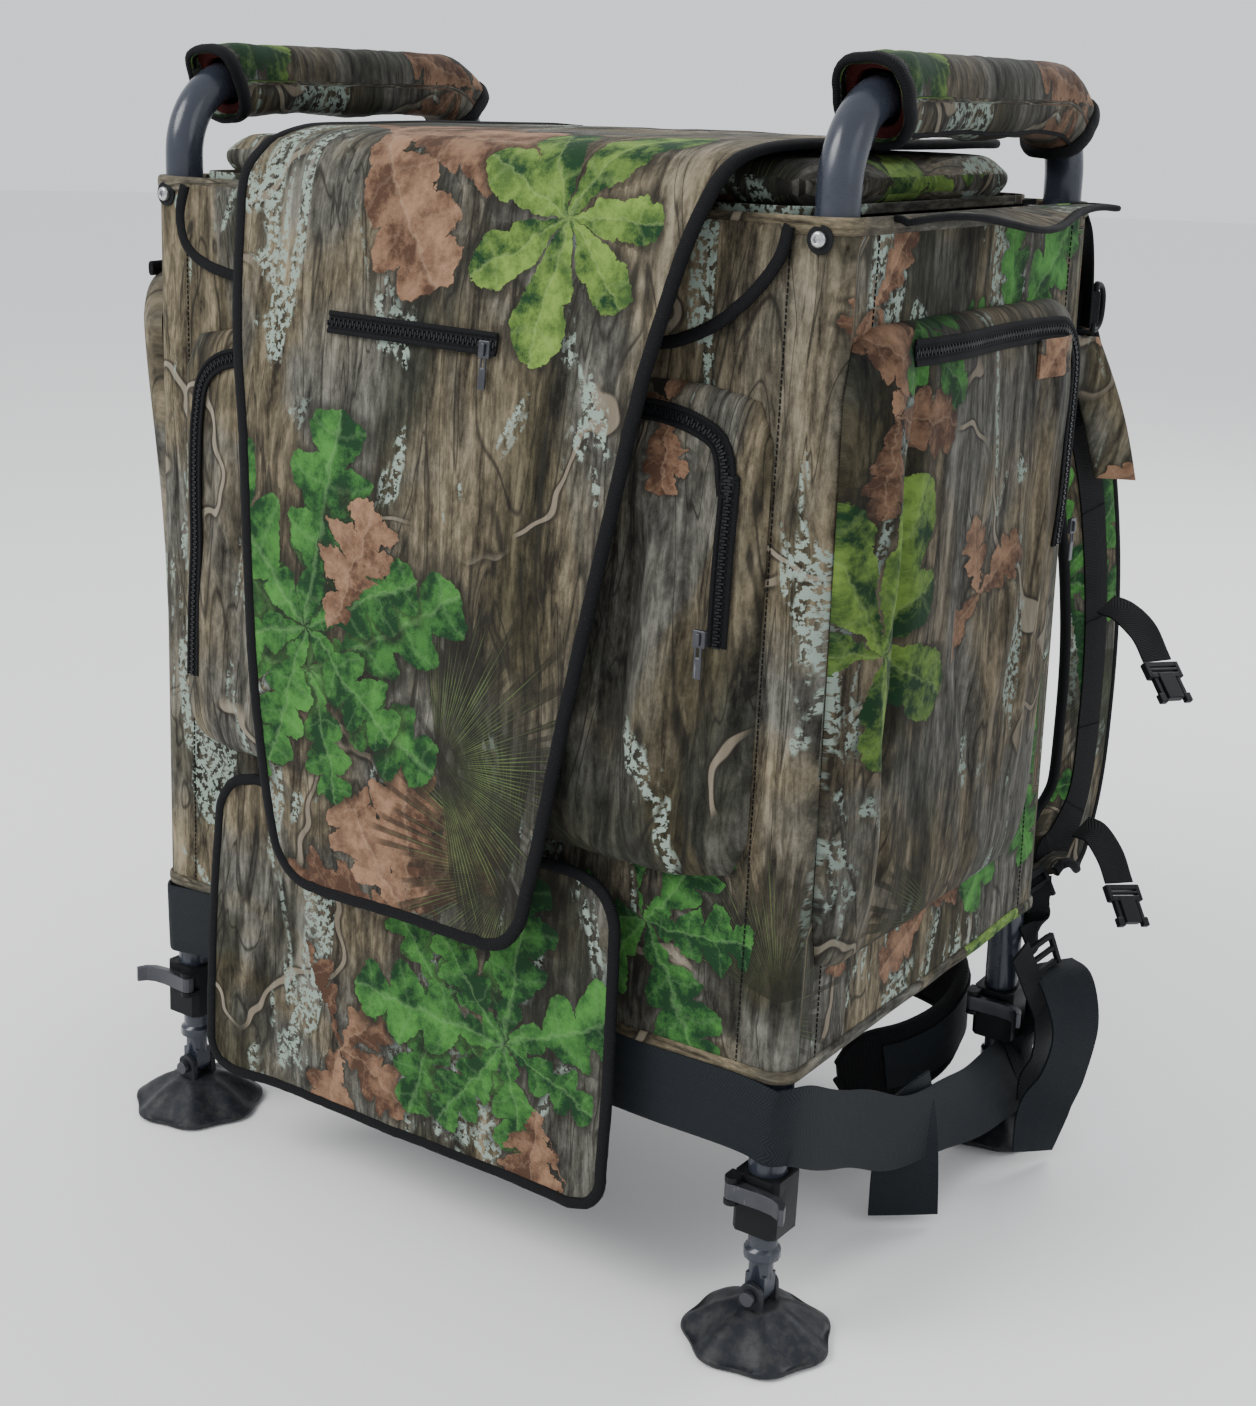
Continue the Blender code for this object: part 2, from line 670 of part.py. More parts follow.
# ---- harness ------------------------------------------------------------------------------------------
def make_shoulder_straps(camo, webbing, plastic):
    strap_points = [
        (0.222, 0.192, 0.650), (0.243, 0.212, 0.590), (0.254, 0.238, 0.520), (0.259, 0.258, 0.450),
        (0.260, 0.274, 0.380), (0.260, 0.279, 0.310), (0.259, 0.276, 0.250), (0.2585, 0.246, 0.213),
        (0.2600, 0.214, 0.200),
    ]
    strap_axes = [
        (0.9, 0.3, 0.0), (0.6, 0.8, 0.0), (0.35, 0.94, 0.0), (0.3, 0.95, 0.0), (0.28, 0.96, 0.0),
        (0.28, 0.96, 0.0), (0.28, 0.96, 0.0), (0.28, 0.90, 0.2), (0.28, 0.80, 0.4),
    ]
    sternum_points = [
        (0.2745, 0.264, 0.405), (0.2900, 0.262, 0.402), (0.3100, 0.252, 0.392), (0.3260, 0.242, 0.375),
    ]
    sternum_axes = [(0.0, 0.9, 0.4), (0.0, 0.9, 0.4), (0.1, 0.9, 0.4), (0.2, 0.9, 0.3)]
    tail_points = [
        (0.2745, 0.258, 0.228), (0.2880, 0.256, 0.226), (0.3040, 0.248, 0.214), (0.3170, 0.238, 0.198),
    ]
    tail_axes = [(0.0, 0.9, 0.4), (0.0, 0.9, 0.4), (0.1, 0.9, 0.4), (0.2, 0.9, 0.3)]
    for label, side in SIDES.items():
        bm = strap(mirrored(strap_points, side), mirrored(strap_axes, side), 0.060, 0.010)
        add_object(f"shoulder_strap_{label}", bm, camo)
        bm = strap(mirrored(sternum_points, side), mirrored(sternum_axes, side), 0.025, WEB)
        add_object(f"sternum_strap_{label}", bm, webbing)
        bm = strap(mirrored(tail_points, side), mirrored(tail_axes, side), 0.025, WEB)
        add_object(f"lower_strap_{label}", bm, webbing)
        for node, end, before in (
            ("sternum_buckle", sternum_points[-1], sternum_points[-2]),
            ("lower_buckle", tail_points[-1], tail_points[-2]),
        ):
            make_buckle(f"{node}_{label}", end, before, side, plastic)


def make_buckle(name, end, before, side, plastic):
    """Side-release buckle half: a flat body with a waist, in line with the strap's last stretch."""
    end = Vector(end)
    along = (end - Vector(before)).normalized()
    start = end + along * (0.0018 + GAP)
    across = Vector((0.0, 0.94, 0.34))
    across = (across - along * across.dot(along)).normalized()
    out = along.cross(across).normalized()
    sections = []
    for reach, half, thick in (
        (0.000, 0.0165, 0.0040), (0.010, 0.0165, 0.0045), (0.014, 0.0130, 0.0045), (0.024, 0.0120, 0.0040),
        (0.030, 0.0150, 0.0038), (0.035, 0.0145, 0.0030),
    ):
        centre = start + along * reach
        sections.append([
            centre - across * half - out * thick,
            centre + across * half - out * thick,
            centre + across * half + out * thick,
            centre - across * half + out * thick,
        ])
    sections = [[Vector((side * p.x, p.y, p.z)) for p in section] for section in sections]
    add_object(name, lofted(sections), plastic)


def make_hip_belt(webbing, padding):
    """Wide webbing around the legs, the padded lumbar band behind them, and the hanging ends."""
    right_run = [
        (0.2765, 0.163, 0.056), (0.2765, 0.110, 0.060), (0.2765, 0.050, 0.069), (0.2765, -0.030, 0.090),
        (0.2765, -0.100, 0.122), (0.2765, -0.160, 0.150), (0.2690, -0.186, 0.157), (0.2450, -0.1905, 0.160),
    ]
    front_run = [(0.150, -0.1905, 0.163), (0.0, -0.1905, 0.165)]
    points = right_run + front_run + mirrored(front_run[:1], -1) + mirrored(right_run[::-1], -1)
    turned_axis = [(-0.55, 0.0, 0.83), (-0.40, 0.0, 0.90), (-0.15, 0.0, 0.98)]
    upright = [(0.0, 0.0, 1.0)] * (len(points) - 6)
    axes = turned_axis + upright + mirrored(turned_axis[::-1], -1)
    add_object("hip_belt", strap(points, axes, 0.052, WEB, 2), webbing)
    wing = [(0.168, 0.082, 0.054), (0.205, 0.120, 0.062), (0.222, 0.160, 0.078), (0.205, 0.199, 0.098)]
    middle = [(0.120, 0.206, 0.108), (0.0, 0.207, 0.110)]
    points = wing + middle + mirrored(middle[:1], -1) + mirrored(wing[::-1], -1)
    axes = [(0.0, 0.0, 1.0)] * len(points)
    add_object("hip_pad", strap(points, axes, 0.058, 0.009), padding)
    tail = [(0.2690, -0.002, 0.110), (0.2690, -0.001, 0.060), (0.2695, 0.000, 0.008)]
    add_object("belt_tail", strap(tail, [(0.0, 1.0, 0.0)] * 3, 0.050, WEB, 2), webbing)
    loop = [
        (0.2860, 0.190, 0.140), (0.3060, 0.178, 0.134), (0.3220, 0.163, 0.105), (0.3200, 0.152, 0.070),
        (0.3120, 0.142, 0.045), (0.3090, 0.134, 0.012),
    ]
    loop_axes = [(0.45, 0.85, 0.0)] * len(loop)
    add_object("belt_loop", strap(loop, loop_axes, 0.046, WEB), webbing)


# ---- small fittings -----------------------------------------------------------------------------------
def make_zip_sliders(metal):
    """Slider body and pull tab; each lies flat on its zip, just clear of the cloth."""
    body = [
        (-0.0040, 0.0), (0.0040, 0.0), (0.0048, -0.0060), (0.0022, -0.0100), (0.0024, -0.0290),
        (-0.0024, -0.0290), (-0.0022, -0.0100), (-0.0048, -0.0060),
    ]
    places = {
        "flap_zip_slider": (Vector((0.056, -0.2096, 0.6200)), Vector((0.0, 0.117, 0.993)), "front"),
        "pocket_zip_slider": (Vector((0.2140, -0.2100, 0.4700)), Vector((0.0, 0.0436, 0.999)), "front"),
        "side_zip_slider": (Vector((0.2948, 0.1240, 0.4950)), Vector((0.0, 0.0, 1.0)), "side"),
    }
    for name, (place, up, face) in places.items():
        out = Vector((0.0, -1.0, 0.0)) if face == "front" else Vector((1.0, 0.0, 0.0))
        out = (out - up * out.dot(up)).normalized()
        across = up.cross(out)
        sections = [
            [place + across * x + up * y + out * depth for x, y in body] for depth in (0.0, 0.0030)
        ]
        add_hinged(name, lofted(sections), metal, place)


def make_carry_ring(plastic):
    """D ring behind the rear right post."""
    centre = Vector((0.2700, 0.1960, 0.6300))
    outline = []
    for i in range(9):
        angle = math.radians(-100.0 + 200.0 * i / 8.0)
        outline.append(Vector((0.0, 0.0145 * math.cos(angle), 0.0165 * math.sin(angle))))
    path = [centre + point for point in outline]
    loop = []
    for point, tangent in zip(path, tangents(path)):
        out = tangent.cross(Vector((1.0, 0.0, 0.0))).normalized()
        loop.append([
            point + Vector((0.0022 * math.cos(a), 0.0, 0.0)) + out * (0.0022 * math.sin(a))
            for a in (math.pi / 3.0 * k for k in range(6))
        ])
    bm = lofted(loop, closed=True)
    add_hinged("carry_ring", bm, plastic, (0.2700, 0.1935, 0.6300))


# ---- assembly -----------------------------------------------------------------------------------------
def main():
    for obj in list(bpy.data.objects):
        bpy.data.objects.remove(obj, do_unlink=True)
    paint = make_material("frame_paint", (0.045, 0.055, 0.075), 0.35, 0.4)
    camo = make_material("camo_cloth", (0.16, 0.15, 0.10), 0.9)
    canvas = make_material("deck_canvas", (0.02, 0.02, 0.022), 0.9)
    webbing = make_material("black_webbing", (0.015, 0.016, 0.02), 0.8)
    plastic = make_material("black_plastic", (0.012, 0.012, 0.014), 0.45)
    rubber = make_material("foot_rubber", (0.03, 0.034, 0.04), 0.6)
    lever_metal = make_material("lever_metal", (0.20, 0.20, 0.22), 0.35, 0.9)
    steel = make_material("bolt_steel", (0.35, 0.35, 0.36), 0.3, 1.0)

    make_side_frames(paint)
    make_rails(paint)
    make_corner_bolts(steel)
    make_legs(paint, plastic, lever_metal, rubber, steel)
    make_armrest_sleeves(camo)
    make_bag_body(camo)
    make_seat(camo, canvas)
    make_pockets(camo)
    make_flaps(camo)
    make_shoulder_straps(camo, webbing, plastic)
    make_hip_belt(webbing, webbing)
    make_zip_sliders(lever_metal)
    make_carry_ring(plastic)

    assembly = bpy.data.objects.new("assembly", None)
    bpy.context.scene.collection.objects.link(assembly)
    for obj in bpy.context.scene.collection.objects:
        if obj is not assembly:
            obj.parent = assembly
    assembly.location = (0.0, ASSEMBLY_Y, 0.0)


main()
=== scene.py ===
import math

import bmesh
import bpy
import numpy as np
from bpy.props import FloatProperty, FloatVectorProperty, IntProperty, PointerProperty
from mathutils import Matrix, Vector, noise


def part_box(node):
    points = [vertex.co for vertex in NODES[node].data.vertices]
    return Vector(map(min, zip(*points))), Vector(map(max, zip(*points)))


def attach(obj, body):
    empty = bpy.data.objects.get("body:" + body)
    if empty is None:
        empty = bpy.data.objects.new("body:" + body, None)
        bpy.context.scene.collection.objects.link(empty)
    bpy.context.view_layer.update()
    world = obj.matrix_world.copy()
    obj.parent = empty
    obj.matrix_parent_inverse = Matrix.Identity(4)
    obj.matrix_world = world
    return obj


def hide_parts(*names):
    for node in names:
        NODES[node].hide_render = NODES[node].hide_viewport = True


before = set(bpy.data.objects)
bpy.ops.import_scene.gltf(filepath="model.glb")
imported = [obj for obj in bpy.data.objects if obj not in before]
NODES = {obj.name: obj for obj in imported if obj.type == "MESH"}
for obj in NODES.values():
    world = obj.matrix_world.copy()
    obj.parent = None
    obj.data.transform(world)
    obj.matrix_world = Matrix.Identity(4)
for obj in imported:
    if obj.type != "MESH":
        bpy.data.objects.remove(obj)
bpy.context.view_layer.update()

bl_info = {
    "name": "Hunting Pack Seat",
    "version": (1, 0, 0),
    "blender": (4, 5, 0),
    "location": "View3D > Sidebar > Pack Seat",
    "description": "Cloth, padding, webbing and finishes for a free-standing hunting seat with a pack body",
    "category": "Object",
}


def span(node, axis):
    low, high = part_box(node)
    return low[axis], high[axis]


def middle(node, axis):
    return sum(span(node, axis)) / 2.0


# Everything below is laid out with Y = 0 half-way between the posts.
MIDDLE_Y = middle("seat_deck", 1)
POST_X = middle("side_frame_right", 0)
BOLT_Z = middle("corner_bolt_front_right", 2)
TUBE_R = (span("side_frame_right", 0)[1] - span("side_frame_right", 0)[0]) / 2.0
ARM_Z = span("side_frame_right", 2)[1] - TUBE_R
POST_LOW = 0.0986
POST_Y = 0.1553             # post centre at the corner bolts
SPLAY = 0.03265             # how far a post leans out for each metre down
BEND_R = 0.052
PACK_LOW, PACK_HIGH = span("bag_body", 2)
WALL_OFF = span("bag_body", 0)[1] - POST_X
SIDES = {"left": -1, "right": 1}
CORNERS = {"front_left": (-1, -1), "front_right": (1, -1), "rear_left": (-1, 1), "rear_right": (1, 1)}
BODY = "seat_frame"
UP = Vector((0.0, 0.0, 1.0))


# ---- sizes and colours --------------------------------------------------------------------------------
def length_property(name, description, default, low, high):
    return FloatProperty(
        name=name, description=description, default=default, min=low, max=high, unit="LENGTH")


class PackSeatSizes(bpy.types.PropertyGroup):
    binding_width: length_property("Binding width", "Black edge binding on the cloth", 0.0078, 0.004, 0.02)
    cloth_thickness: length_property("Cloth thickness", "Padded flap cloth", 0.003, 0.001, 0.008)
    webbing_thickness: length_property("Webbing thickness", "Strap webbing", 0.0018, 0.0008, 0.004)
    cushion_swell: length_property("Cushion swell", "How far the filled cushion may bulge", 0.009, 0.0, 0.03)
    strap_padding: length_property("Strap padding", "Shoulder strap foam", 0.0095, 0.004, 0.02)
    tooth_pitch: length_property("Zip tooth pitch", "From one zip tooth to the next", 0.0019, 0.001, 0.005)
    tube_sides: IntProperty(name="Tube sides", description="How many sides the frame tubes are turned with",
                            default=40, min=12, max=96)


def colour_property(name, description, default):
    return FloatVectorProperty(name=name, description=description, default=default, size=3,
                               min=0.0, max=1.0, subtype="COLOR")


class PackSeatColours(bpy.types.PropertyGroup):
    bark_dark: colour_property("Dark bark", "Furrows of the printed bark", (0.018, 0.016, 0.013))
    bark_mid: colour_property("Bark", "Main tone of the printed bark", (0.086, 0.08, 0.064))
    bark_light: colour_property("Light bark", "Ridges of the printed bark", (0.225, 0.208, 0.17))
    leaf_green: colour_property("Green leaf", "Lit side of the printed green leaves", (0.064, 0.205, 0.042))
    leaf_deep: colour_property("Deep green leaf", "Shaded side of the green leaves", (0.008, 0.034, 0.012))
    leaf_lime: colour_property("Lime leaf", "Lit side of the printed lime leaves", (0.165, 0.27, 0.052))
    leaf_tan: colour_property("Tan leaf", "Lit side of the printed dry leaves", (0.27, 0.158, 0.096))
    leaf_rust: colour_property("Rust leaf", "Shaded side of the dry leaves", (0.062, 0.032, 0.02))
    lichen: colour_property("Lichen", "Pale printed lichen", (0.23, 0.285, 0.245))
    needle: colour_property("Needles", "Printed pine needles", (0.095, 0.15, 0.04))
    webbing: colour_property("Webbing", "Black strap webbing", (0.0042, 0.0044, 0.0052))
    belt: colour_property("Belt webbing", "Wide dark belt webbing", (0.009, 0.012, 0.015))
    frame_paint: colour_property("Frame paint", "Satin paint of the tubes", (0.026, 0.031, 0.044))
    plastic: colour_property("Plastic", "Moulded black plastic", (0.008, 0.009, 0.01))
    rubber: colour_property("Rubber", "Foot rubber", (0.012, 0.014, 0.018))
    steel: colour_property("Steel", "Bare bolt heads and zip pulls", (0.42, 0.42, 0.43))
    lining: colour_property("Sleeve lining", "Red lining at the sleeve ends", (0.045, 0.008, 0.007))
    floor: colour_property("Floor", "Studio floor", (0.9, 0.9, 0.89))


def sizes():
    return bpy.context.scene.pack_seat_sizes


def shade(name):
    return (*getattr(bpy.context.scene.pack_seat_colours, name), 1.0)


def toned(colour, share):
    return [min(1.0, c * share) for c in colour[:3]] + [1.0]


# ---- shader wiring ------------------------------------------------------------------------------------
class Net:
    """Short hand for wiring the nodes of one tree."""

    def __init__(self, tree):
        self.nodes = tree.nodes
        self.links = tree.links

    def put(self, kind, **settings):
        node = self.nodes.new(kind)
        for name, value in settings.items():
            setattr(node, name, value)
        return node

    def feed(self, socket, value):
        if isinstance(value, bpy.types.NodeSocket):
            self.links.new(value, socket)
        elif value is not None:
            socket.default_value = value

    def math(self, operation, a, b=None, c=None, clamp=False):
        node = self.put("ShaderNodeMath", operation=operation, use_clamp=clamp)
        for socket, value in zip(node.inputs, (a, b, c)):
            self.feed(socket, value)
        return node.outputs[0]

    def times(self, a, b):
        return self.math("MULTIPLY", a, b)

    def split(self, value, kind="XYZ"):
        node = self.put(f"ShaderNodeSeparate{kind}")
        self.feed(node.inputs[0], value)
        return node.outputs

    def vector(self, operation, a, b=None, scale=None):
        node = self.put("ShaderNodeVectorMath", operation=operation)
        self.feed(node.inputs[0], a)
        self.feed(node.inputs[1], b)
        if scale is not None:
            self.feed(node.inputs["Scale"], scale)
        return node.outputs[0]

    def ease(self, value, low, high):
        """0 below low, 1 above high, smooth between; low may be the greater of the two."""
        node = self.put("ShaderNodeMapRange", interpolation_type="SMOOTHSTEP")
        for socket, given in zip(node.inputs, (value, low, high)):
            self.feed(socket, given)
        return node.outputs[0]

    def mix(self, factor, a, b, blend="MIX"):
        node = self.put("ShaderNodeMix", data_type="RGBA", blend_type=blend)
        for index, value in ((0, factor), (6, a), (7, b)):
            self.feed(node.inputs[index], value)
        return node.outputs[2]

    def noise(self, place, scale, detail=2.0, roughness=0.5, distortion=0.0, colour=False, flat=True):
        node = self.put("ShaderNodeTexNoise", noise_dimensions="2D" if flat else "3D")
        for label, value in (("Vector", place), ("Scale", scale), ("Detail", detail),
                             ("Roughness", roughness), ("Distortion", distortion)):
            self.feed(node.inputs[label], value)
        return node.outputs["Color" if colour else "Fac"]

    def grain(self, place, x, y, detail=2.0, roughness=0.5, distortion=0.0):
        """Noise with a scale of its own along each side of the cloth."""
        return self.noise(self.vector("MULTIPLY", place, (x, y, 1.0)), 1.0, detail, roughness, distortion)

    def ramp(self, value, stops):
        node = self.put("ShaderNodeValToRGB")
        band = node.color_ramp
        band.elements[0].position, band.elements[0].color = stops[0]
        band.elements[1].position, band.elements[1].color = stops[-1]
        for position, colour in stops[1:-1]:
            band.elements.new(position).color = colour
        self.feed(node.inputs[0], value)
        return node.outputs[0]

    def group(self, name, **values):
        node = self.put("ShaderNodeGroup", node_tree=bpy.data.node_groups[name])
        for label, value in values.items():
            self.feed(node.inputs[label.replace("_", " ")], value)
        return node.outputs

    def bump(self, height, distance, strength=1.0, normal=None):
        node = self.put("ShaderNodeBump")
        self.feed(node.inputs["Strength"], strength)
        self.feed(node.inputs["Distance"], distance)
        self.feed(node.inputs["Height"], height)
        self.feed(node.inputs["Normal"], normal)
        return node.outputs[0]


def new_group(name, inputs, outputs):
    """An empty node group with named sockets; returns its net, its inputs and its output sockets."""
    tree = bpy.data.node_groups.new(name, "ShaderNodeTree")
    for label, default in inputs.items():
        kind = "NodeSocketFloat"
        if default is None:
            kind = "NodeSocketVector"
        elif not isinstance(default, float):
            kind = "NodeSocketColor"
        socket = tree.interface.new_socket(label, in_out="INPUT", socket_type=kind)
        if default is not None:
            socket.default_value = default
    for label, kind in outputs.items():
        tree.interface.new_socket(label, in_out="OUTPUT", socket_type=f"NodeSocket{kind}")
    net = Net(tree)
    given = net.put("NodeGroupInput").outputs
    result = net.put("NodeGroupOutput").inputs
    return net, given, result


SPRAY = {"Length": 0.09, "Leaves": 6.0, "Width": 0.28, "Lobes": 4.0, "Depth": 0.5, "Fan": 1.0, "Seed": 0.0}
LEAF_MASKS = {"Mask": "Float", "Halo": "Float", "Rib": "Float", "Tone": "Float"}


def leaf_spray_group():
    """Leaves around one point: each is a lobed outline on its own mid-rib."""
    net, given, result = new_group(
        "leaf_spray",
        {"Vector": None, "Centre X": 0.0, "Centre Y": 0.0, "Turn": 0.0, **SPRAY}, LEAF_MASKS)
    m, times = net.math, net.times
    part = net.split(given["Vector"])
    wobble = net.split(net.noise(given["Vector"], 46.0, 4.0, 0.65, colour=True), "Color")
    amount = times(given["Width"], 0.055)
    x, y = (m("MULTIPLY_ADD", m("SUBTRACT", wobble[k], 0.5), amount,
              m("SUBTRACT", part[k], given[f"Centre {'XY'[k]}"])) for k in (0, 1))
    reach = m("SQRT", m("ADD", times(x, x), times(y, y)))
    around = m("FRACT", m("DIVIDE", m("ADD", m("ARCTAN2", y, x), given["Turn"]), 2.0 * math.pi))
    sector = times(around, given["Leaves"])
    index = m("FLOOR", sector)
    inside = m("SUBTRACT", m("SUBTRACT", sector, index), 0.5)
    chance = net.put("ShaderNodeTexWhiteNoise", noise_dimensions="1D")
    net.feed(chance.inputs["W"], m("MULTIPLY_ADD", given["Seed"], 13.7, index))
    chance = chance.outputs["Value"]
    other = m("FRACT", times(chance, 7.31))
    angle = m("DIVIDE", m("MULTIPLY_ADD", m("SUBTRACT", chance, 0.5), 0.3, inside), given["Leaves"])
    angle = times(angle, 2.0 * math.pi)
    length = times(given["Length"], m("MULTIPLY_ADD", other, 0.42, 0.58))
    along = m("DIVIDE", times(reach, m("COSINE", angle)), length)
    across = m("DIVIDE", times(reach, m("SINE", angle)), length)
    half = m("ABSOLUTE", across)
    t = m("MULTIPLY_ADD", half, -0.34, along)
    arch = m("SQRT", m("MAXIMUM", times(times(t, m("SUBTRACT", 1.0, t)), 4.0), 0.0))
    lobe = m("POWER", m("ABSOLUTE", m("SINE", times(times(given["Lobes"], t), math.pi))), 0.7)
    notch = m("SUBTRACT", 1.0, times(given["Depth"], m("SUBTRACT", 1.0, lobe)))
    taper = m("MULTIPLY_ADD", net.ease(t, 0.0, 0.55), 0.62, 0.38)
    width = times(times(given["Width"], arch), times(notch, taper))
    gap = m("SUBTRACT", width, half)
    fan = m("LESS_THAN", around, given["Fan"])
    mask = times(net.ease(gap, 0.0, 0.01), fan)
    halo = times(net.ease(gap, -0.13, 0.03), times(fan, net.ease(along, 1.12, 0.98)))
    vein = m("ABSOLUTE", m("SUBTRACT", m("FRACT", times(given["Lobes"], t)), 0.5))
    rib = m("MAXIMUM", net.ease(half, 0.02, 0.002), times(net.ease(vein, 0.07, 0.0), 0.55))
    tone = m("MULTIPLY_ADD", m("SIGN", across), 0.15, m("MULTIPLY_ADD", chance, 0.42, -0.3))
    mottle = net.ease(net.noise(given["Vector"], 34.0, 7.0, 0.72), 0.3, 0.7)
    tone = m("ADD", tone, times(mottle, 0.95), clamp=True)
    for label, value in (("Mask", mask), ("Halo", halo), ("Rib", times(rib, mask)), ("Tone", tone)):
        net.feed(result[label], value)


def leaf_scatter_group():
    """The same spray strewn over the cloth, turned and chosen by chance."""
    net, given, result = new_group(
        "leaf_scatter", {"Vector": None, "Cell": 0.28, "Share": 0.5, **SPRAY}, LEAF_MASKS)
    place = net.vector("SCALE", given["Vector"], scale=net.math("DIVIDE", 1.0, given["Cell"]))
    shift = net.put("ShaderNodeCombineXYZ")
    net.feed(shift.inputs[0], given["Seed"])
    net.feed(shift.inputs[1], net.times(given["Seed"], 1.7))
    place = net.vector("ADD", place, shift.outputs[0])
    cells = net.put("ShaderNodeTexVoronoi", voronoi_dimensions="2D", feature="F1")
    net.feed(cells.inputs["Vector"], place)
    net.feed(cells.inputs["Scale"], 1.0)
    net.feed(cells.inputs["Randomness"], 0.75)
    local = net.vector("SCALE", net.vector("SUBTRACT", place, cells.outputs["Position"]), scale=given["Cell"])
    chance = net.split(cells.outputs["Color"], "Color")
    shape = {label: given[label] for label in SPRAY}
    shape["Seed"] = net.times(chance[1], 57.0)
    turn = net.times(chance[0], 6.283)
    spray = net.group("leaf_spray", Vector=local, Turn=turn, **shape)
    shown = net.math("LESS_THAN", chance[2], given["Share"])
    for label in ("Mask", "Halo", "Rib"):
        net.feed(result[label], net.times(spray[label], shown))
    net.feed(result["Tone"], spray["Tone"])


LEAF_SHADES = {
    "needle": ("needle", "bark_dark"), "tan": ("leaf_tan", "leaf_rust"), "lime": ("leaf_lime", "leaf_deep"),
    "green": ("leaf_green", "leaf_deep"),
}


def leaves(kind, length, count, width, lobes, depth, fan, seed, **place):
    """One kind of leaf and the settings of its spray, or of a scatter of such sprays."""
    return kind, dict(Length=length, Leaves=count, Width=width, Lobes=lobes, Depth=depth, Fan=fan, Seed=seed,
                      **place)


def print_leaves(net, colour, spray, kind):
    """Lay one spray's leaves over a colour: a shadow round them, the leaves, then their ribs."""
    light, dark = (shade(name) for name in LEAF_SHADES[kind])
    colour = net.mix(net.times(spray["Halo"], 0.74), colour, (0.014, 0.013, 0.01, 1.0))
    leaf = net.mix(spray["Tone"], dark, light)
    pale = net.mix(0.12, light, (0.75, 0.8, 0.62, 1.0))
    leaf = net.mix(net.times(spray["Rib"], 0.26), leaf, pale)
    return net.mix(spray["Mask"], colour, leaf)


def woodland_group():
    """Printed woodland cloth: upright bark grain, twigs, lichen, needles and strewn leaves."""
    net, given, result = new_group("woodland_print", {"Vector": None, "Leafiness": 1.0}, {"Color": "Color"})
    m, times = net.math, net.times
    place = given["Vector"]
    fibre = net.grain(place, 150.0, 22.0, 5.0, 0.68, 0.4)
    ridge = net.grain(place, 46.0, 7.5, 4.0, 0.62, 0.9)
    patch = net.grain(place, 9.0, 5.0, 3.0, 0.55, 0.6)
    fleck = net.grain(place, 210.0, 90.0, 3.0, 0.75)
    grain = m("ADD", times(fibre, 0.4), m("MULTIPLY_ADD", ridge, 0.4, times(fleck, 0.2)))
    tones = [(0.38, shade("bark_dark")), (0.5, shade("bark_mid")), (0.64, shade("bark_light"))]
    bark = net.ramp(grain, tones)
    warm = net.mix(net.ease(patch, 0.42, 0.62), (0.8, 0.84, 0.88, 1.0), (1.12, 1.0, 0.8, 1.0))
    bark = net.mix(1.0, bark, warm, "MULTIPLY")
    deep = net.grain(place, 7.0, 3.2, 3.0, 0.6, 0.8)
    bark = net.mix(net.ease(deep, 0.52, 0.34), bark, (0.34, 0.36, 0.32, 1.0), "MULTIPLY")
    crack = net.grain(place, 24.0, 3.4, 2.0, 0.5, 1.4)
    crack = net.ease(m("ABSOLUTE", m("SUBTRACT", crack, 0.5)), 0.022, 0.0)
    colour = net.mix(times(crack, 0.78), bark, (0.012, 0.011, 0.009, 1.0))
    for turn, shift, tint in ((0.62, 0.3, (0.3, 0.265, 0.205, 1.0)), (-0.95, 0.7, (0.235, 0.2, 0.15, 1.0))):
        lean = net.put("ShaderNodeVectorRotate", rotation_type="Z_AXIS")
        net.feed(lean.inputs["Vector"], place)
        net.feed(lean.inputs["Angle"], turn)
        part = net.split(lean.outputs[0])
        bend = net.grain(place, 6.0, 6.0, 3.0, 0.5)
        line = m("FRACT", m("ADD", times(part[1], 3.1), m("MULTIPLY_ADD", bend, 1.1, shift)))
        line = m("ABSOLUTE", m("SUBTRACT", line, 0.5))
        some = net.ease(net.noise(place, 5.0 * (1.0 + shift), 1.0), 0.46, 0.52)
        colour = net.mix(times(net.ease(line, 0.034, 0.016), times(some, 0.8)),
                         colour, (0.018, 0.015, 0.012, 1.0))
        bright = net.mix(fibre, (0.1, 0.085, 0.06, 1.0), tint)
        colour = net.mix(times(net.ease(line, 0.016, 0.009), some), colour, bright)
    speck = net.noise(place, 190.0, 2.0, 0.7)
    lichen = net.ease(net.grain(place, 14.0, 5.0, 4.0, 0.65, 0.5), 0.585, 0.63)
    lichen = times(lichen, net.ease(speck, 0.44, 0.54))
    colour = net.mix(lichen, colour, shade("lichen"))
    layers = (
        leaves("needle", 0.105, 150.0, 0.007, 1.0, 0.0, 0.42, 3.1, Cell=0.23, Share=0.42),
        leaves("tan", 0.085, 4.0, 0.3, 4.0, 0.58, 0.74, 9.4, Cell=0.19, Share=0.44),
        leaves("lime", 0.088, 5.0, 0.36, 3.0, 0.34, 0.8, 17.2, Cell=0.27, Share=0.26),
        leaves("green", 0.118, 6.0, 0.28, 4.0, 0.7, 0.9, 25.8, Cell=0.3, Share=0.34),
    )
    for kind, settings in layers:
        settings["Share"] = times(given["Leafiness"], settings["Share"])
        colour = print_leaves(net, colour, net.group("leaf_scatter", Vector=place, **settings), kind)
    net.feed(result["Color"], colour)


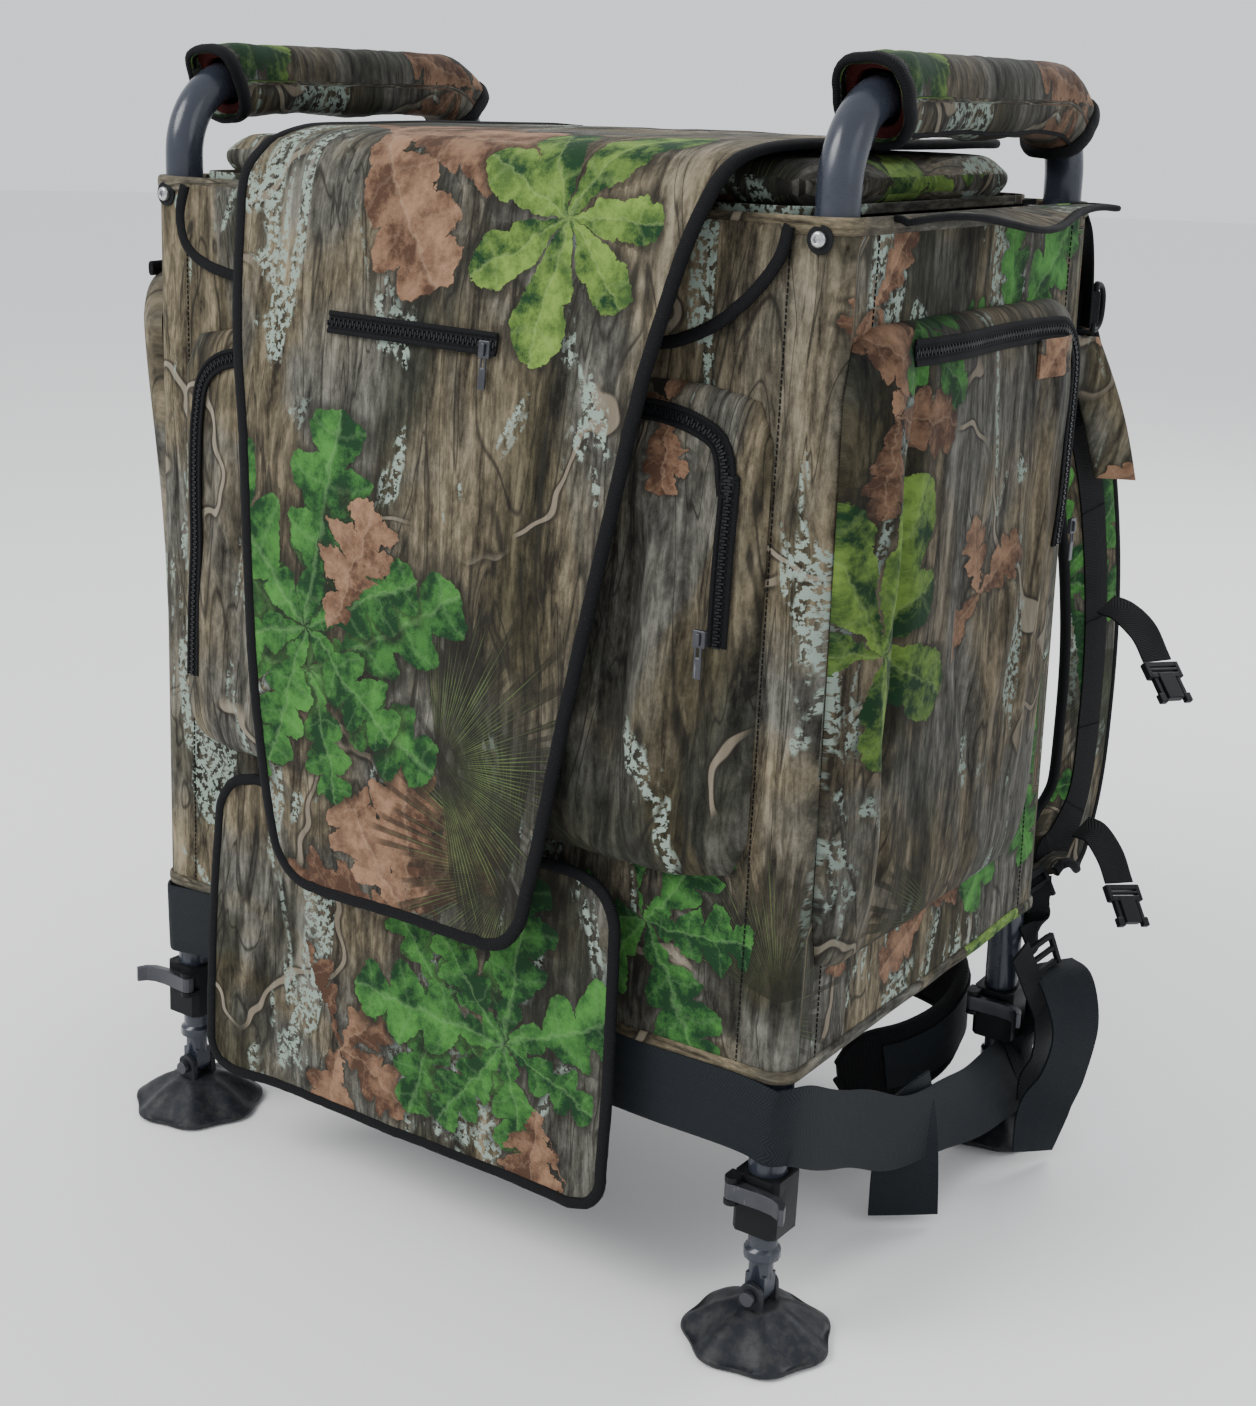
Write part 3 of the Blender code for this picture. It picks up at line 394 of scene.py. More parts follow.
def weave_group():
    """Plain weave: threads crossing at a pitch, and a softer unevenness under them."""
    net, given, result = new_group("plain_weave", {"Vector": None, "Pitch": 0.0009}, {"Height": "Float"})
    m, times = net.math, net.times
    part = net.split(net.vector("SCALE", given["Vector"], scale=m("DIVIDE", 3.14159, given["Pitch"])))
    over = times(m("SINE", part[0]), m("SINE", part[1]))
    soft = net.noise(given["Vector"], 240.0, 3.0, 0.6)
    net.feed(result["Height"], m("ADD", times(over, 0.35), soft))


def webbing_group():
    """Webbing: ribs across the strap that lean one way and then the other, and the picks along it. The second
    output is painted light: lighter on the crests of the ribs and darker in the grooves.
    """
    net, given, result = new_group(
        "webbing_weave", {"Vector": None, "Pitch": 0.0024, "Panel": 0.0125},
        {"Height": "Float", "Rib Light": "Float"})
    m, times = net.math, net.times
    part = net.split(given["Vector"])
    lean = m("PINGPONG", part[0], given["Panel"])
    rib = m("SINE", m("DIVIDE", times(m("MULTIPLY_ADD", lean, 0.55, part[1]), 6.2832),
                      given["Pitch"]))
    end = m("SINE", m("DIVIDE", times(part[0], 6.2832), times(given["Pitch"], 0.62)))
    net.feed(result["Height"], m("ADD", times(rib, 0.5), times(end, 0.22)))
    # Painted light from the rib height: a painted highlight on the crests and painted shade in the grooves.
    net.feed(result["Rib Light"], net.ease(rib, -0.6, 0.9))


def wear_group():
    """Handling marks on paint and plastic: fine scratches, rubbed patches and settled dust."""
    net, given, result = new_group(
        "surface_wear", {"Vector": None, "Scale": 1.0}, {"Scratch": "Float", "Rub": "Float", "Dust": "Float"})
    place = net.vector("SCALE", given["Vector"], scale=given["Scale"])
    lines = net.noise(net.vector("MULTIPLY", place, (700.0, 700.0, 60.0)), 1.0, 2.0, 0.5, 0.3, flat=False)
    where = net.noise(place, 16.0, 3.0, 0.6, flat=False)
    net.feed(result["Scratch"], net.times(net.ease(lines, 0.66, 0.74), net.ease(where, 0.48, 0.62)))
    net.feed(result["Rub"], net.ease(net.noise(place, 42.0, 4.0, 0.65, flat=False), 0.42, 0.68))
    net.feed(result["Dust"], net.noise(place, 130.0, 3.0, 0.7, flat=False))


def make_groups():
    leaf_spray_group()
    leaf_scatter_group()
    woodland_group()
    weave_group()
    webbing_group()
    wear_group()


# ---- materials ----------------------------------------------------------------------------------------
def new_material(name, roughness=0.6, metallic=0.0):
    material = bpy.data.materials.new(name)
    material.use_nodes = True
    shader = material.node_tree.nodes["Principled BSDF"]
    shader.inputs["Roughness"].default_value = roughness
    shader.inputs["Metallic"].default_value = metallic
    return material, Net(material.node_tree), shader.inputs


def cloth_map(net):
    return net.put("ShaderNodeUVMap", uv_map="cloth").outputs[0]


def leaf_cloth(name, shift=(0.0, 0.0), sprays=(), leafiness=1.0, tone=1.0):
    """Printed cloth. Shift slides the print; sprays are large leaf groups set at places of their own."""
    material, net, sockets = new_material(name, 0.86)
    place = cloth_map(net)
    moved = net.vector("ADD", place, (*shift, 0.0))
    colour = net.group("woodland_print", Vector=moved, Leafiness=leafiness)["Color"]
    for kind, settings in sprays:
        colour = print_leaves(net, colour, net.group("leaf_spray", Vector=place, **settings), kind)
    if tone < 1.0:
        colour = net.mix(1.0, colour, (tone, tone, tone, 1.0), "MULTIPLY")
    net.feed(sockets["Base Color"], colour)
    worn = net.noise(place, 26.0, 3.0, 0.6)
    net.feed(sockets["Roughness"], net.math("MULTIPLY_ADD", worn, 0.2, 0.72))
    sockets["Sheen Weight"].default_value = 0.02
    sockets["Specular IOR Level"].default_value = 0.14
    weave = net.group("plain_weave", Vector=place)["Height"]
    crease = net.grain(place, 34.0, 23.8, 4.0, 0.55, 0.6)
    normal = net.bump(weave, 0.00035, 0.55)
    net.feed(sockets["Normal"], net.bump(crease, 0.004, 0.45, normal))
    return material


def web_cloth(name, colour, pitch=0.0024, panel=0.0125, roughness=0.72):
    material, net, sockets = new_material(name, roughness)
    place = cloth_map(net)
    weave = net.group("webbing_weave", Vector=place, Pitch=pitch, Panel=panel)
    # Painted light: the webbing colour follows the rib height, with painted shade in the grooves and a
    # painted highlight on the crests.
    tint = net.mix(weave["Rib Light"], toned(colour, 0.65), toned(colour, 1.35))
    fluff = net.ease(net.noise(place, 420.0, 3.0, 0.7), 0.58, 0.76)
    tint = net.mix(net.times(fluff, 0.1), tint, (0.06, 0.06, 0.065, 1.0))
    net.feed(sockets["Base Color"], tint)
    sockets["Specular IOR Level"].default_value = 0.16
    net.feed(sockets["Normal"], net.bump(weave["Height"], 0.0005, 0.4))
    return material


def solid_finish(name, colour, roughness, metallic=0.0, grain=0.0, rub=(0.06, 0.06, 0.07), dust=0.0,
                 scale=1.0, gloss=0.22):
    """Paint, plastic, rubber or metal: an even colour with scratches, rubbed patches and some dust."""
    material, net, sockets = new_material(name, roughness, metallic)
    place = net.put("ShaderNodeTexCoord").outputs["Object"]
    wear = net.group("surface_wear", Vector=place, Scale=scale)
    tint = net.mix(net.times(wear["Rub"], 0.22), colour, toned(colour, 1.7))
    tint = net.mix(net.times(wear["Scratch"], 0.55), tint, (*rub, 1.0))
    if dust:
        settled = net.times(net.ease(net.split(place)[2], 0.09, 0.0), dust)
        settled = net.times(settled, net.ease(wear["Dust"], 0.4, 0.66))
        tint = net.mix(settled, tint, (0.16, 0.145, 0.125, 1.0))
    net.feed(sockets["Base Color"], tint)
    sockets["Specular IOR Level"].default_value = gloss
    net.feed(sockets["Roughness"], net.math("MULTIPLY_ADD", wear["Rub"], 0.16, roughness - 0.06))
    if grain:
        net.feed(sockets["Normal"], net.bump(wear["Dust"], grain, 0.6))
    return material


MAIN_SPRAYS = (
    leaves("tan", 0.15, 7.0, 0.3, 4.0, 0.45, 0.62, 2.0, Centre_X=-0.06, Centre_Y=0.76, Turn=1.4),
    leaves("tan", 0.13, 8.0, 0.34, 4.0, 0.5, 0.55, 5.0, Centre_X=0.01, Centre_Y=0.25, Turn=5.9),
    leaves("needle", 0.11, 150.0, 0.008, 1.0, 0.0, 0.62, 4.0, Centre_X=0.095, Centre_Y=0.3, Turn=4.9),
    leaves("needle", 0.12, 160.0, 0.008, 1.0, 0.0, 0.5, 9.0, Centre_X=0.035, Centre_Y=0.36, Turn=1.4),
    leaves("lime", 0.11, 7.0, 0.25, 2.0, 0.3, 1.0, 7.0, Centre_X=0.105, Centre_Y=0.7, Turn=0.35),
    leaves("green", 0.15, 7.0, 0.25, 4.0, 0.66, 1.0, 21.0, Centre_X=-0.075, Centre_Y=0.4, Turn=0.9),
    leaves("green", 0.17, 6.0, 0.26, 4.0, 0.74, 1.0, 11.0, Centre_X=-0.08, Centre_Y=0.43, Turn=0.2),
    leaves("tan", 0.135, 6.0, 0.4, 4.0, 0.76, 0.165, 3.0, Centre_X=-0.06, Centre_Y=0.43, Turn=5.55),
)
APRON_SPRAYS = (
    leaves("tan", 0.085, 5.0, 0.34, 4.0, 0.6, 0.7, 6.0, Centre_X=-0.07, Centre_Y=0.12, Turn=2.4),
    leaves("green", 0.125, 6.0, 0.25, 4.0, 0.66, 1.0, 26.0, Centre_X=0.02, Centre_Y=0.185, Turn=0.3),
    leaves("green", 0.135, 7.0, 0.25, 4.0, 0.7, 1.0, 16.0, Centre_X=0.075, Centre_Y=0.165, Turn=0.9),
    leaves("tan", 0.08, 6.0, 0.42, 4.0, 0.7, 0.17, 8.0, Centre_X=0.105, Centre_Y=0.13, Turn=2.2),
)
SIDE_SPRAYS = (
    leaves("tan", 0.08, 5.0, 0.34, 4.0, 0.5, 0.6, 12.0, Centre_X=-0.17, Centre_Y=0.64, Turn=0.8),
    leaves("lime", 0.11, 7.0, 0.28, 2.0, 0.3, 0.85, 14.0, Centre_X=-0.135, Centre_Y=0.455, Turn=1.9),
    leaves("green", 0.075, 5.0, 0.3, 3.0, 0.4, 0.6, 15.0, Centre_X=-0.09, Centre_Y=0.64, Turn=2.9),
)


def make_materials():
    dark = shade("plastic")
    leaf_cloth("flap cloth", (4.93, 0.57), MAIN_SPRAYS, 0.0)
    leaf_cloth("apron cloth", (1.57, 0.35), APRON_SPRAYS, 0.0)
    # This cloth is the print darkened to 0.72: painted shade for the pack's right side.
    leaf_cloth("side cloth", (2.4, 0.05), SIDE_SPRAYS, 0.3, 0.72)
    leaf_cloth("pack cloth", (3.33, 0.71), leafiness=0.6)
    leaf_cloth("pocket cloth", (0.83, 1.37), leafiness=0.7)
    leaf_cloth("sleeve cloth", (9.3, 4.1), leafiness=0.7, tone=0.7)
    leaf_cloth("strap cloth", (7.45, 1.16))
    web_cloth("edge binding", shade("webbing"), 0.0016, 0.004, 0.8)
    web_cloth("black webbing", shade("webbing"))
    web_cloth("belt webbing", shade("belt"), 0.0018, 0.006, 0.66)
    web_cloth("padding cloth", shade("webbing"), 0.003, 0.0015, 0.82)
    web_cloth("zip tape", shade("webbing"), 0.001, 0.002, 0.74)
    web_cloth("sleeve lining", shade("lining"), 0.0014, 0.003, 0.85)
    web_cloth("deck canvas", shade("webbing"), 0.0016, 0.0008, 0.85)
    solid_finish("frame paint", shade("frame_paint"), 0.27, 0.15, 0.0001, (0.07, 0.08, 0.1), gloss=0.5)
    solid_finish("black plastic", dark, 0.46, 0.0, 0.00025, gloss=0.12)
    solid_finish("zip teeth", dark, 0.4)
    solid_finish("foot rubber", shade("rubber"), 0.5, 0.0, 0.00025, (0.05, 0.05, 0.055), 0.12)
    solid_finish("lever steel", (0.06, 0.062, 0.07, 1.0), 0.34, 0.7, 0.00012, (0.35, 0.35, 0.36), scale=1.6)
    solid_finish("bolt steel", shade("steel"), 0.3, 0.95, 0.0001, (0.6, 0.6, 0.61), scale=2.0)


# ---- mesh building ------------------------------------------------------------------------------------
def place_in_scene(name, data):
    obj = bpy.data.objects.new(name, data)
    bpy.context.scene.collection.objects.link(obj)
    return obj


def make_piece(name, points, faces, material, body=BODY, node=None, slot=None, chart=None, smooth=True):
    """One mesh object that rides on a body. Chart gives each point its place on the cloth, in metres."""
    mesh = bpy.data.meshes.new(name)
    mesh.from_pydata([(p[0], p[1] + MIDDLE_Y, p[2]) for p in points], [], faces)
    mesh.validate()
    bm = bmesh.new()
    bm.from_mesh(mesh)
    bmesh.ops.recalc_face_normals(bm, faces=bm.faces)
    bm.to_mesh(mesh)
    bm.free()
    if chart is None:
        chart = [(p[0] + p[1], p[2]) for p in points]
    layer = mesh.uv_layers.new(name="cloth")
    corner_points = np.empty(len(mesh.loops), dtype=np.int32)
    mesh.loops.foreach_get("vertex_index", corner_points)
    layer.data.foreach_set("uv", np.array(chart, dtype=np.float32)[corner_points].ravel())
    if smooth:
        mesh.shade_smooth()
    mesh.materials.append(bpy.data.materials[material])
    obj = place_in_scene(name, mesh)
    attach(obj, body)
    if node:
        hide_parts(node)
    return obj


def grid_faces(rows, columns, around=False):
    faces = []
    for i in range(rows - 1):
        for j in range(columns if around else columns - 1):
            k = (j + 1) % columns
            faces.append((i * columns + j, i * columns + k, (i + 1) * columns + k, (i + 1) * columns + j))
    return faces


def tube_faces(rows, columns, closed=False):
    """Faces of a tube made of rings; its ends are capped unless it closes on itself."""
    faces = grid_faces(rows, columns, True)
    last = (rows - 1) * columns
    if closed:
        faces += [(last + j, last + (j + 1) % columns, (j + 1) % columns, j) for j in range(columns)]
    else:
        faces += [tuple(range(columns)), tuple(range(last, last + columns))]
    return faces


def joined(rows):
    return [point for row in rows for point in row]


def surface(name, rows, chart, material, around=False, **rest):
    """A skin through rows of points."""
    return make_piece(name, joined(rows), grid_faces(len(rows), len(rows[0]), around), material,
                      chart=joined(chart), **rest)


def outer_edge(rows):
    """Down one side of a sheet, along its last row and back up the other side."""
    return [row[0] for row in rows] + rows[-1][1:-1] + [row[-1] for row in rows[::-1]]


def rounded(obj, width, segments=2):
    soft = obj.modifiers.new("Rounded edges", "BEVEL")
    soft.width = width
    soft.segments = segments
    return soft


def thickened(obj, thickness, offset=0.0):
    solid = obj.modifiers.new("Thickness", "SOLIDIFY")
    solid.thickness = thickness
    solid.offset = offset
    return obj


def sharp_above(obj, degrees):
    obj.data.set_sharp_from_angle(angle=math.radians(degrees))


def curve_through(points, per_span=6):
    """A smooth curve through a few points."""
    points = [Vector(point) for point in points]
    ends = [2.0 * points[0] - points[1], *points, 2.0 * points[-1] - points[-2]]
    path = []
    for a, b, c, d in zip(ends, ends[1:], ends[2:], ends[3:]):
        for i in range(per_span):
            t = i / per_span
            path.append(0.5 * (2.0 * b + (c - a) * t + (2.0 * a - 5.0 * b + 4.0 * c - d) * t * t
                               + (3.0 * b - a - 3.0 * c + d) * t * t * t))
    path.append(points[-1])
    return path


def spaced(path, step):
    """The same line with its points a given distance apart."""
    path = [Vector(point) for point in path]
    gaps = [(b - a).length for a, b in zip(path, path[1:])]
    total = sum(gaps)
    count = max(2, round(total / step))
    result, index, walked = [], 0, 0.0
    for i in range(count + 1):
        mark = total * i / count
        while index < len(gaps) - 1 and walked + gaps[index] < mark:
            walked += gaps[index]
            index += 1
        share = 0.0 if gaps[index] == 0.0 else (mark - walked) / gaps[index]
        result.append(path[index].lerp(path[index + 1], min(1.0, max(0.0, share))))
    return result


def directions(path, closed=False):
    count = len(path)
    if closed:
        return [(path[(i + 1) % count] - path[i - 1]).normalized() for i in range(count)]
    return [(path[min(i + 1, count - 1)] - path[max(i - 1, 0)]).normalized() for i in range(count)]


def oval(half_width, half_thick, sides, power):
    """A flattened round section, given as (across, out); a high power squares it off."""
    section = []
    for i in range(sides):
        angle = 2.0 * math.pi * (i + 0.5) / sides
        c, s = math.cos(angle), math.sin(angle)
        reach = (abs(c) ** power + abs(s) ** power) ** (-1.0 / power)
        section.append((half_width * c * reach, half_thick * s * reach))
    return section


def sweep(name, path, across, half_width, half_thick, material, sides=12, power=5.0, closed=False,
          swell=None, **rest):
    """A section carried along a path, its width lying along the given directions."""
    ahead = directions(path, closed)
    if isinstance(across, Vector):
        across = [across] * len(path)
    section = oval(half_width, half_thick, sides, power)
    points, chart, walked = [], [], 0.0
    for i, (point, forward, side) in enumerate(zip(path, ahead, across)):
        if i:
            walked += (point - path[i - 1]).length
        side = (side - forward * side.dot(forward)).normalized()
        out = side.cross(forward).normalized()
        grow = swell(i / (len(path) - 1)) if swell else (1.0, 1.0)
        for a, b in section:
            points.append(point + side * (a * grow[0]) + out * (b * grow[1]))
            chart.append((a, walked) if abs(b) > 0.3 * half_thick or half_thick < 0.003 else (a + b, walked))
    obj = make_piece(name, points, tube_faces(len(path), sides, closed), material, chart=chart, **rest)
    if not closed:
        sharp_above(obj, 60.0)
    return obj


def thick_sheet(name, rows, chart, thickness, material, **rest):
    """A sheet through rows of points, given its thickness on both sides of them."""
    return thickened(surface(name, rows, chart, material, **rest), thickness)


def bound_edge(name, path, inward, body=BODY, closed=False, width=None, thick=0.0052):
    """Binding folded over an edge; inward points from the edge into the cloth."""
    width = width or sizes().binding_width
    line = []
    for point, direction in zip(path, inward):
        wander = 0.0005 * noise.noise(point * 140.0)
        line.append(point + direction * (width / 2.0 - 0.0016 + wander))
    return sweep(name, line, inward, width / 2.0, thick / 2.0, "edge binding", 12, 3.0, closed, body=body)


BRICK_CORNERS = ((-1, -1, -1), (1, -1, -1), (1, 1, -1), (-1, 1, -1),
                 (-1, -1, 1), (1, -1, 1), (1, 1, 1), (-1, 1, 1))
BRICK_FACES = ((0, 3, 2, 1), (4, 5, 6, 7), (0, 1, 5, 4), (1, 2, 6, 5), (2, 3, 7, 6), (3, 0, 4, 7))


def bricks(name, parts, material, bevel=0.0, **rest):
    """Closed bricks as one piece; each part is a centre and its three half-sides, all vectors."""
    points, faces = [], []
    for centre, x, y, z in parts:
        faces += [tuple(len(points) + k for k in face) for face in BRICK_FACES]
        points += [centre + x * a + y * b + z * c for a, b, c in BRICK_CORNERS]
    obj = make_piece(name, points, faces, material, smooth=False, **rest)
    if bevel:
        rounded(obj, bevel)


def zip_run(name, path, normal, width, body=BODY, lift=0.0008):
    """Zip tape with its two rows of teeth along a line on the cloth."""
    pitch = sizes().tooth_pitch
    path = [point + normal * lift for point in path]
    across = [normal.cross(forward).normalized() for forward in directions(path)]
    sweep(f"{name}_tape", path, across, width / 2.0, 0.0007, "zip tape", 10, 6.0, body=body)
    for label, shift in (("a", 1.0), ("b", -1.0)):
        edge = [p + a * (shift * width * 0.4) + normal * 0.0006 for p, a in zip(path, across)]
        sweep(f"{name}_fold_{label}", edge, across, width * 0.13, 0.0011, "edge binding", 8, 2.2, body=body)
    teeth = []
    fine = spaced(path, pitch)
    for i, (point, forward) in enumerate(zip(fine, directions(fine))):
        side = normal.cross(forward).normalized()
        teeth.append((point + normal * 0.0012 + side * (0.0007 if i % 2 else -0.0007), side * 0.0016,
                      forward * (pitch * 0.29), normal * 0.0006))
    bricks(f"{name}_teeth", teeth, "zip teeth", body=body)


def stitch_row(name, path, normal):
    """A row of short raised stitches along a line."""
    pitch, radius = 0.0036, 0.00032
    path = spaced(path, pitch)
    stitches = []
    for point, forward in zip(path, directions(path)):
        side = normal.cross(forward).normalized()
        stitches.append((point + normal * radius * 0.6, side * radius, forward * (pitch * 0.34),
                         normal * radius))
    bricks(name, stitches, "padding cloth")


def copied(node, name, material, bevel, segments=3, body=BODY):
    """A frame piece with its edges rounded off, standing for the plain one."""
    bm = bmesh.new()
    bm.from_mesh(NODES[node].data)
    bmesh.ops.remove_doubles(bm, verts=bm.verts, dist=0.00002)
    bmesh.ops.dissolve_limit(bm, angle_limit=math.radians(1.5), verts=bm.verts, edges=bm.edges)
    bmesh.ops.recalc_face_normals(bm, faces=bm.faces)
    mesh = bpy.data.meshes.new(name)
    bm.to_mesh(mesh)
    bm.free()
    mesh.shade_smooth()
    mesh.materials.append(bpy.data.materials[material])
    obj = place_in_scene(name, mesh)
    soft = rounded(obj, bevel, segments)
    soft.limit_method = "ANGLE"
    soft.angle_limit = math.radians(28.0)
    soft.harden_normals = True
    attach(obj, body)
    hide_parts(node)
    return obj


# ---- the pack's own surfaces --------------------------------------------------------------------------
def post_y(z):
    return POST_Y + SPLAY * (BOLT_Z - z)


def ripple(a, z, seed, size=9.0):
    return noise.noise(Vector((a * size, seed * 3.7, z * size * 0.45)))


def drawn_in(a, half, z, seed):
    """How far a wall of the pack gives inwards at a place: most in the middle, nothing at the posts."""
    up = min(1.0, max(0.0, (z - PACK_LOW) / (PACK_HIGH - PACK_LOW)))
    belly = math.cos(math.pi / 2.0 * min(1.0, abs(a) / half)) * math.sin(math.pi * up)
    folds = 0.0016 * ripple(a, z, seed) + 0.0008 * ripple(a, z, seed + 5.0, 30.0)
    fade = min(1.0, (1.0 - min(1.0, abs(a) / half)) * 6.0)
    return 0.0035 * belly - folds * fade


def on_front(x, z, out=0.0):
    y = post_y(z) + WALL_OFF - drawn_in(x, POST_X, z, 1.0)
    return Vector((x, -y - out, z))


def on_rear(x, z, out=0.0):
    y = post_y(z) + WALL_OFF - drawn_in(x, POST_X, z, 2.0)
    return Vector((x, y + out, z))


def on_side(side, y, z, out=0.0):
    x = POST_X + WALL_OFF - drawn_in(y, post_y(z), z, 3.0 + side)
    return Vector((side * (x + out), y, z))


def pack_ring(z, off=0.0):
    """A level round the outside of the pack, with its walls' give and folds."""
    per_corner, per_side = 8, 36
    ring = []
    y = post_y(z)
    for fx, fy, start in ((1, 1, 0.0), (-1, 1, 90.0), (-1, -1, 180.0), (1, -1, 270.0)):
        for i in range(per_corner + 1):
            angle = math.radians(start + 90.0 * i / per_corner)
            reach = WALL_OFF + off
            ring.append(Vector((fx * POST_X + reach * math.cos(angle), fy * y + reach * math.sin(angle), z)))
        for i in range(1, per_side):
            share = i / per_side
            if (fx, fy) == (1, 1):
                ring.append(on_rear(POST_X - 2.0 * POST_X * share, z, off))
            elif (fx, fy) == (-1, 1):
                ring.append(on_side(-1, y - 2.0 * y * share, z, off))
            elif (fx, fy) == (-1, -1):
                ring.append(on_front(-POST_X + 2.0 * POST_X * share, z, off))
            else:
                ring.append(on_side(1, -y + 2.0 * y * share, z, off))
    return ring


def ring_chart(ring, z):
    """Unroll a level of the pack, starting from the middle of each wall's own print."""
    return [(p.x if abs(p.y) > post_y(z) else p.y + math.copysign(0.6, p.x), z) for p in ring]


def build_pack():
    levels = [PACK_LOW + (PACK_HIGH - PACK_LOW) * i / 56.0 for i in range(57)]
    rows = [pack_ring(z) for z in levels]
    chart = [ring_chart(row, z) for row, z in zip(rows, levels)]
    walls = surface("pack_walls", rows, chart, "pack cloth", True, node="bag_body", slot="camo_cloth")
    thickened(walls, 0.0024, -1.0)
    bm = bmesh.new()
    loops = [[bm.verts.new((p.x, p.y + MIDDLE_Y, PACK_LOW + 0.0012)) for p in pack_ring(PACK_LOW, -0.0028)]]
    for fx, fy in CORNERS.values():
        x, y, r = fx * POST_X, fy * post_y(PACK_LOW) + MIDDLE_Y, 0.0133
        turns = [2.0 * math.pi * i / 24.0 for i in range(24)]
        loops.append([bm.verts.new((x + r * math.cos(turn), y + r * math.sin(turn), PACK_LOW + 0.0012))
                      for turn in turns])
    edges = [bm.edges.new((loop[i], loop[(i + 1) % len(loop)])) for loop in loops for i in range(len(loop))]
    bmesh.ops.triangle_fill(bm, edges=edges, use_beauty=True)
    floor_points = [(v.co.x, v.co.y - MIDDLE_Y, v.co.z) for v in bm.verts]
    bm.verts.index_update()
    floor_faces = [tuple(v.index for v in face.verts) for face in bm.faces]
    bm.free()
    floor = make_piece("pack_floor", floor_points, floor_faces, "deck canvas", smooth=False,
                       chart=[(x, y) for x, y, _ in floor_points])
    thickened(floor, 0.002)
    low = pack_ring(PACK_LOW + 0.0022)
    sweep("pack_bottom_hem", low, UP, 0.0044, 0.0022, "pack cloth", 10, 3.0, True)
    high = pack_ring(PACK_HIGH - 0.003)
    sweep("pack_top_hem", high, UP, 0.005, 0.0021, "pack cloth", 10, 3.0, True)
    for label, (fx, fy) in CORNERS.items():
        for face in (0, 1):
            seam = []
            for i in range(90):
                z = PACK_LOW + 0.006 + (PACK_HIGH - PACK_LOW - 0.016) * i / 89.0
                if face == 0:
                    seam.append((on_front if fy < 0 else on_rear)(fx * (POST_X - 0.019), z, 0.0002))
                else:
                    seam.append(on_side(fx, fy * (post_y(z) - 0.019), z, 0.0002))
            out = Vector((0.0, float(fy), 0.0)) if face == 0 else Vector((float(fx), 0.0, 0.0))
            stitch_row(f"corner_stitching_{label}_{face}", seam, out)
    for side in (-1, 1):
        pad_on_rear(f"back_pad_{'left' if side < 0 else 'right'}", side * 0.095, 0.07, 0.3, 0.61)
    pad_on_rear("back_pad_low", 0.0, 0.185, 0.205, 0.28)


def pad_on_rear(name, x0, half, z0, z1):
    """A sewn-on foam pad on the pack's back, covered in padding cloth and bound round its edge."""
    rows, chart = [], []
    count_u, count_v = 34, 60
    for j in range(count_v + 1):
        v = math.sin(math.pi * (j / count_v - 0.5))
        row, marks = [], []
        for i in range(count_u + 1):
            u = math.sin(math.pi * (i / count_u - 0.5))
            corner = max(0.0, abs(u) - 0.72) * max(0.0, abs(v) - 0.86)
            x = x0 + half * u * (1.0 - 1.3 * corner)
            z = (z0 + z1) / 2.0 + (z1 - z0) / 2.0 * v * (1.0 - 0.6 * corner)
            rise = 0.016 * ((1.0 - abs(u) ** 5) * (1.0 - abs(v) ** 9)) ** 0.45
            rise += 0.0018 * ripple(x, z, 8.0, 22.0) * (rise / 0.016)
            row.append(on_rear(x, z, 0.0006 + rise))
            marks.append((x, z))
        rows.append(row)
        chart.append(marks)
    surface(name, rows, chart, "padding cloth")
    rim = rows[0] + [row[-1] for row in rows[1:]] + rows[-1][-2::-1] + [row[0] for row in rows[-2:0:-1]]
    centre = Vector((x0, 0.0, (z0 + z1) / 2.0))
    inward = []
    for point in rim:
        direction = centre - point
        direction.y = 0.0
        inward.append(direction.normalized())
    bound_edge(f"{name}_edge", rim, inward, closed=True, thick=0.004)


# ---- seat cushion -------------------------------------------------------------------------------------
def rounded_outline(half_x, y0, y1, inset, corner, steps):
    """Points round a rectangle with rounded corners, moved in by the inset."""
    outline = []
    for fx, fy, edge, start in ((1, 1, y1, 0.0), (-1, 1, y1, 90.0), (-1, -1, y0, 180.0), (1, -1, y0, 270.0)):
        for i in range(steps + 1):
            angle = math.radians(start + 90.0 * i / steps)
            outline.append((fx * (half_x - inset - corner) + corner * math.cos(angle),
                            edge - fy * (inset + corner) + corner * math.sin(angle)))
    return outline


